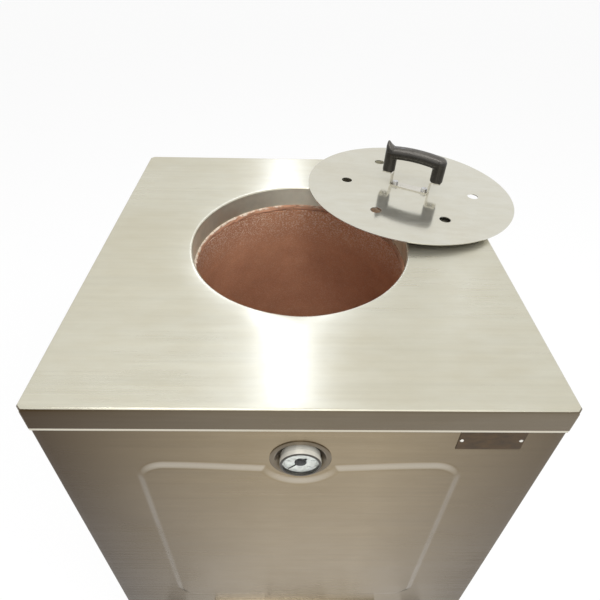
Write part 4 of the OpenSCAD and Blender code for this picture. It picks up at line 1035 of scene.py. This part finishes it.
def make_front_panel(material):
    """Front panel with its corner returns, raised field, gauge hole and drawer opening."""
    half = PANEL_HI.x
    face_y = -half
    back_y = PANEL_HI.y
    bend = half - CORNER_R
    slope = [(-FIELD_HALF_W - FINE_MARGIN, -FIELD_HALF_W + FIELD_CORNER_R, FINE_SIDE),
             (FIELD_HALF_W - FIELD_CORNER_R, FIELD_HALF_W + FINE_MARGIN, FINE_SIDE),
             (-RELIEF_R - FIELD_SLOPE, RELIEF_R + FIELD_SLOPE, FINE_TOP)]
    across = fine_lines(-bend, bend, COARSE_ACROSS, slope)
    corner = [radians(90 / CORNER_STEPS * k) for k in range(CORNER_STEPS + 1)]
    side = [(half, back_y), (half, (back_y + face_y) / 2)]
    side += [(bend + CORNER_R * cos(a), face_y + CORNER_R - CORNER_R * sin(a)) for a in corner]
    path = [(-x, y) for x, y in side] + [(x, face_y) for x in across[1:-1]] + side[::-1]
    tall = [(FIELD_BOTTOM_Z - FINE_MARGIN, FIELD_BOTTOM_Z + FIELD_CORNER_R, FINE_BOTTOM),
            (FIELD_TOP_Z - FIELD_CORNER_R, FIELD_TOP_Z + FINE_MARGIN, FINE_TOP)]
    levels = fine_lines(PANEL_LO.z, PANEL_HI.z, COARSE_UP, tall)
    verts = []
    for z in levels:
        for x, y in path:
            on_face = abs(y - face_y) < ON_FACE
            verts.append((x, y - field_height(x, z) if on_face else y, z))
    faces = grid_faces(len(levels), len(path))
    panel = mesh_piece("front_skin", verts, faces, material, "front_panel")
    solid = panel.modifiers.new("sheet", "SOLIDIFY")
    solid.thickness = PANEL_SHEET
    solid.offset = -1
    cut_round(panel, "gauge_cut", (0, face_y, GAUGE_Z), DISH_HOLE_R, CUT_DEPTH)
    tray_lo, tray_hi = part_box("ash_tray")
    cut_box(panel, "drawer_cut",
            (tray_lo.x - DRAWER_GAP, face_y - DRAWER_CUT_FRONT, tray_lo.z - DRAWER_GAP_LOW),
            (tray_hi.x + DRAWER_GAP, face_y + DRAWER_CUT_BACK, tray_hi.z + DRAWER_GAP))
    apply_modifiers(panel)
    drop_cutters()
    shade_smooth(panel, sharp=40)


def add_cutter(piece, cutter):
    """Lets a shape cut the piece once its modifiers are applied."""
    cut = piece.modifiers.new(cutter.name, "BOOLEAN")
    cut.operation = "DIFFERENCE"
    cut.solver = "EXACT"
    cut.object = cutter
    cutter["cutter"] = True


def cut_round(piece, name, at, radius, depth):
    bpy.ops.mesh.primitive_cylinder_add(vertices=HOLE_STEPS, radius=radius, depth=depth, location=at,
                                        rotation=(pi / 2, 0, 0))
    bpy.context.object.name = name
    add_cutter(piece, bpy.context.object)


def cut_box(piece, name, low, high):
    low, high = Vector(low), Vector(high)
    bpy.ops.mesh.primitive_cube_add(size=1, location=(low + high) / 2)
    bpy.context.object.scale = high - low
    bpy.context.object.name = name
    add_cutter(piece, bpy.context.object)


def drop_cutters():
    for o in [o for o in bpy.data.objects if o.get("cutter")]:
        bpy.data.objects.remove(o)


# ---- lid handle ----

LEG_X = 46 * MM
LEG_R = 11.8 * MM
LEG_LOW = 26.1 * MM
BAR_HEIGHT = 63 * MM
BAR_ARCH = 4 * MM
BAR_STEPS = 32
CIRCLE_STEPS = 48
CORNER_BALL_R = 12 * MM
CORNER_BALL_DROP = 0.6 * MM
GRIP_VOXEL = 0.8 * MM

# the moulding's outlines, in mm
# a leg's rounded foot: outwards and up
LEG_FOOT = [(-1.6, 0), (-0.5, 0.5), (0, 1.6), (0, 36.9)]
# the bar's section: across and up, from the crown over the shoulder to the lip and the underside
BAR_HALF_SECTION = [(0, 11.2), (3.2, 10.8), (5.8, 9.3), (8.2, 7.0), (10.3, 4.3), (11.6, 1.2), (11.8, -2.0),
                    (11.3, -5.0), (10.4, -7.4), (11.2, -8.6), (10.6, -10.3), (8.5, -10.8), (0, -10.9)]
# the thumb rest: height, middle, half length and half width
SPUR_RINGS = [(60, -46.0, 11.6, 11.6), (67, -46.2, 11.6, 11.4), (71, -47.6, 10.4, 10.6),
              (74, -50.2, 7.8, 9.2), (77, -52.4, 5.3, 7.2), (80, -53.8, 3.5, 5.0), (82.6, -54.6, 2.2, 3.0),
              (84, -54.9, 1.0, 1.2)]


def ring_solid(work, rings):
    """Adds a closed solid through rings of equal length."""
    loops = [[work.verts.new(p) for p in ring] for ring in rings]
    for low, high in zip(loops, loops[1:]):
        for k in range(len(low)):
            n = (k + 1) % len(low)
            work.faces.new((low[k], low[n], high[n], high[k]))
    work.faces.new(list(reversed(loops[0])))
    work.faces.new(loops[-1])


def make_grip(material):
    """Moulded grip: crowned bar with a lip, rounded corners, two legs and a pointed thumb rest."""
    work = bmesh.new()
    section = BAR_HALF_SECTION + [(-y, z) for y, z in reversed(BAR_HALF_SECTION[1:-1])]
    bar = []
    for step in range(BAR_STEPS + 1):
        x = LEG_X * (2 * step / BAR_STEPS - 1)
        rise = BAR_HEIGHT + BAR_ARCH * (1 - (x / LEG_X) ** 2)
        lean = -2 * BAR_ARCH * x / LEG_X ** 2
        bar.append([(x - z * MM * lean, y * MM, rise + z * MM) for y, z in reversed(section)])
    ring_solid(work, bar)
    turns = [tau * k / CIRCLE_STEPS for k in range(CIRCLE_STEPS)]
    circle = [(cos(a), sin(a)) for a in turns]
    for side in (-1, 1):
        ring_solid(work, [[(side * LEG_X + (LEG_R + r * MM) * c, (LEG_R + r * MM) * s, LEG_LOW + z * MM)
                           for c, s in circle] for r, z in LEG_FOOT])
        corner = Matrix.Translation((side * LEG_X, 0, BAR_HEIGHT - CORNER_BALL_DROP))
        bmesh.ops.create_uvsphere(work, u_segments=CIRCLE_STEPS, v_segments=CIRCLE_STEPS // 2,
                                  radius=CORNER_BALL_R, matrix=corner)
    ring_solid(work, [[((x + a * c) * MM, b * s * MM, z * MM) for c, s in circle]
                      for z, x, a, b in SPUR_RINGS])
    grip = add_object("grip_moulding", finished_mesh(work, "grip_moulding"))
    remesh = grip.modifiers.new("union", "REMESH")
    remesh.mode = "VOXEL"
    remesh.voxel_size = GRIP_VOXEL
    relax = grip.modifiers.new("relax", "SMOOTH")
    relax.factor = 0.5
    relax.iterations = 8
    apply_modifiers(grip)
    grip.data.transform(HANDLE_FRAME)
    grip.data.materials.clear()
    grip.data.materials.append(material)
    grip.data.polygons.foreach_set("use_smooth", [True] * len(grip.data.polygons))
    declare(grip, "lid", "handle_grip")


# ---- thermometer ----

HUB_R = 7.5 * MM
HAND_L = 21.8 * MM
HAND_TAIL = 10 * MM
HAND_LIFT, HAND_TOP = 0.5 * MM, 1.1 * MM
HUB_LIFT = 0.3 * MM
# half of the domed hub's section: share of its radius, and height in mm
HUB_DOME = [(1, 0.0), (1, 0.9), (0.95, 1.3), (0.8, 1.65), (0.5, 1.95), (0.2, 2.05)]
HUB_TOP_R, HUB_TOP_MM = 0.05 * MM, 2.06
PIN_R, PIN_L, PIN_FRONT = 1.0 * MM, 3.8 * MM, 1.0 * MM
HUB_STEPS, PIN_STEPS = 64, 32
# half widths of the hand at its tail, middle and tip, in mm
HAND_WIDTHS = (1.5, 1.15, 0.35)
SCALE_FROM, SCALE_TURN = radians(225), radians(270)
SCALE_TICKS = 50
SCALE_STEP = 10
SCALE_TOP = 500
NUMBER_STEP = 100
RING_STEPS = 90
PRINT_LIFT = 0.05 * MM
RING_IN, RING_OUT = 20.6 * MM, 20.8 * MM
# half angle of a tick and the radius that it starts at
LONG_TICK, SHORT_TICK = (0.011, 18.4 * MM), (0.006, 19.6 * MM)
NUMBER_R, NUMBER_SIZE = 15.4 * MM, 3.4 * MM
UNIT_R, UNIT_SIZE = 14.5 * MM, 3.6 * MM


def on_dial(angle, radius, lift):
    """A point in front of the dial, at an angle seen from the front."""
    return Vector((radius * cos(angle), GAUGE.y - lift, GAUGE_Z + radius * sin(angle)))


def dial_ring(radius, lift, steps):
    return [on_dial(tau * k / steps, radius, lift) for k in range(steps)]


def make_hand(material):
    """Domed hub with its tapering hand, at the cold end of the scale."""
    work = bmesh.new()
    dome = [(HUB_R * share, h) for share, h in HUB_DOME] + [(HUB_TOP_R, HUB_TOP_MM)]
    ring_solid(work, [dial_ring(r, HUB_LIFT + h * MM, HUB_STEPS) for r, h in dome])
    back = -min(CASE_HI.y - GAUGE.y, PIN_L)
    ring_solid(work, [dial_ring(PIN_R, lift, PIN_STEPS) for lift in (back, PIN_FRONT)])
    ends = list(zip((-HAND_TAIL / MM, 0, HAND_L / MM), HAND_WIDTHS))
    outline = ends + [(u, -v) for u, v in reversed(ends)]
    along = Vector((cos(SCALE_FROM), 0, sin(SCALE_FROM)))
    side = Vector((-along.z, 0, along.x))
    ring_solid(work, [[on_dial(0, 0, h) + along * u * MM + side * v * MM for u, v in outline]
                      for h in (HAND_LIFT, HAND_TOP)])
    bmesh.ops.recalc_face_normals(work, faces=work.faces)
    hand = add_object("thermometer_hand", finished_mesh(work, "hand"))
    hand.data.materials.append(material)
    shade_smooth(hand, sharp=50)
    declare(hand, "pointer", "gauge_pointer")


def add_band(work, a0, a1, r0, r1, steps):
    """A flat printed arc between two angles and two radii."""
    angles = [a0 + (a1 - a0) * k / steps for k in range(steps + 1)]
    inner, outer = ([work.verts.new(on_dial(a, r, PRINT_LIFT)) for a in angles] for r in (r0, r1))
    for k in range(steps):
        work.faces.new((inner[k], inner[k + 1], outer[k + 1], outer[k]))


def make_scale(ink):
    """Printed ring, ticks and numbers on the dial."""
    work = bmesh.new()
    add_band(work, SCALE_FROM, SCALE_FROM - SCALE_TURN, RING_IN, RING_OUT, RING_STEPS)
    for tick in range(SCALE_TICKS + 1):
        angle = SCALE_FROM - SCALE_TURN * tick / SCALE_TICKS
        half, start = SHORT_TICK if tick % SCALE_STEP else LONG_TICK
        add_band(work, angle - half, angle + half, start, RING_OUT, 1)
    parts = [finished_mesh(work, "scale")]
    for number in range(0, SCALE_TOP + 1, NUMBER_STEP):
        angle = SCALE_FROM - SCALE_TURN * number / SCALE_TOP
        parts.append(text_mesh(str(number), on_dial(angle, NUMBER_R, PRINT_LIFT), NUMBER_SIZE))
    parts.append(text_mesh("\u00b0C", on_dial(-pi / 2, UNIT_R, PRINT_LIFT), UNIT_SIZE))
    for index, part in enumerate(parts):
        part.materials.clear()
        part.materials.append(ink)
        declare(add_object(f"dial_print_{index}", part), "cabinet")


def text_mesh(text, at, size):
    """Flat centred lettering that faces the front."""
    curve = bpy.data.curves.new("lettering", "FONT")
    curve.body = text
    curve.size = size
    curve.align_x, curve.align_y = "CENTER", "CENTER"
    curve.resolution_u = 3
    holder = add_object("lettering", curve)
    mesh = evaluated_mesh(holder)
    bpy.data.objects.remove(holder)
    mesh.transform(Matrix.Translation(at) @ Matrix.Rotation(pi / 2, 4, "X"))
    return mesh


# ---- the script's run ----

make_camera()
make_world()
for lamp in LAMPS:
    area_light(*lamp)
make_floor()
materials = make_materials()
finish_nodes(materials)
make_top_cover(materials["top_sheet"], materials["flange_sheet"], materials["hem_sheet"])
make_collar(materials["collar_sheet"])
make_pot(materials["fired_clay"])
make_mortar(materials["pale_mortar"])
make_front_panel(materials["front_sheet"])
make_grip(materials["phenolic"])
make_hand(materials["hand_enamel"])
make_scale(materials["dial_ink"])

bpy.context.scene.view_settings.view_transform = "Standard"
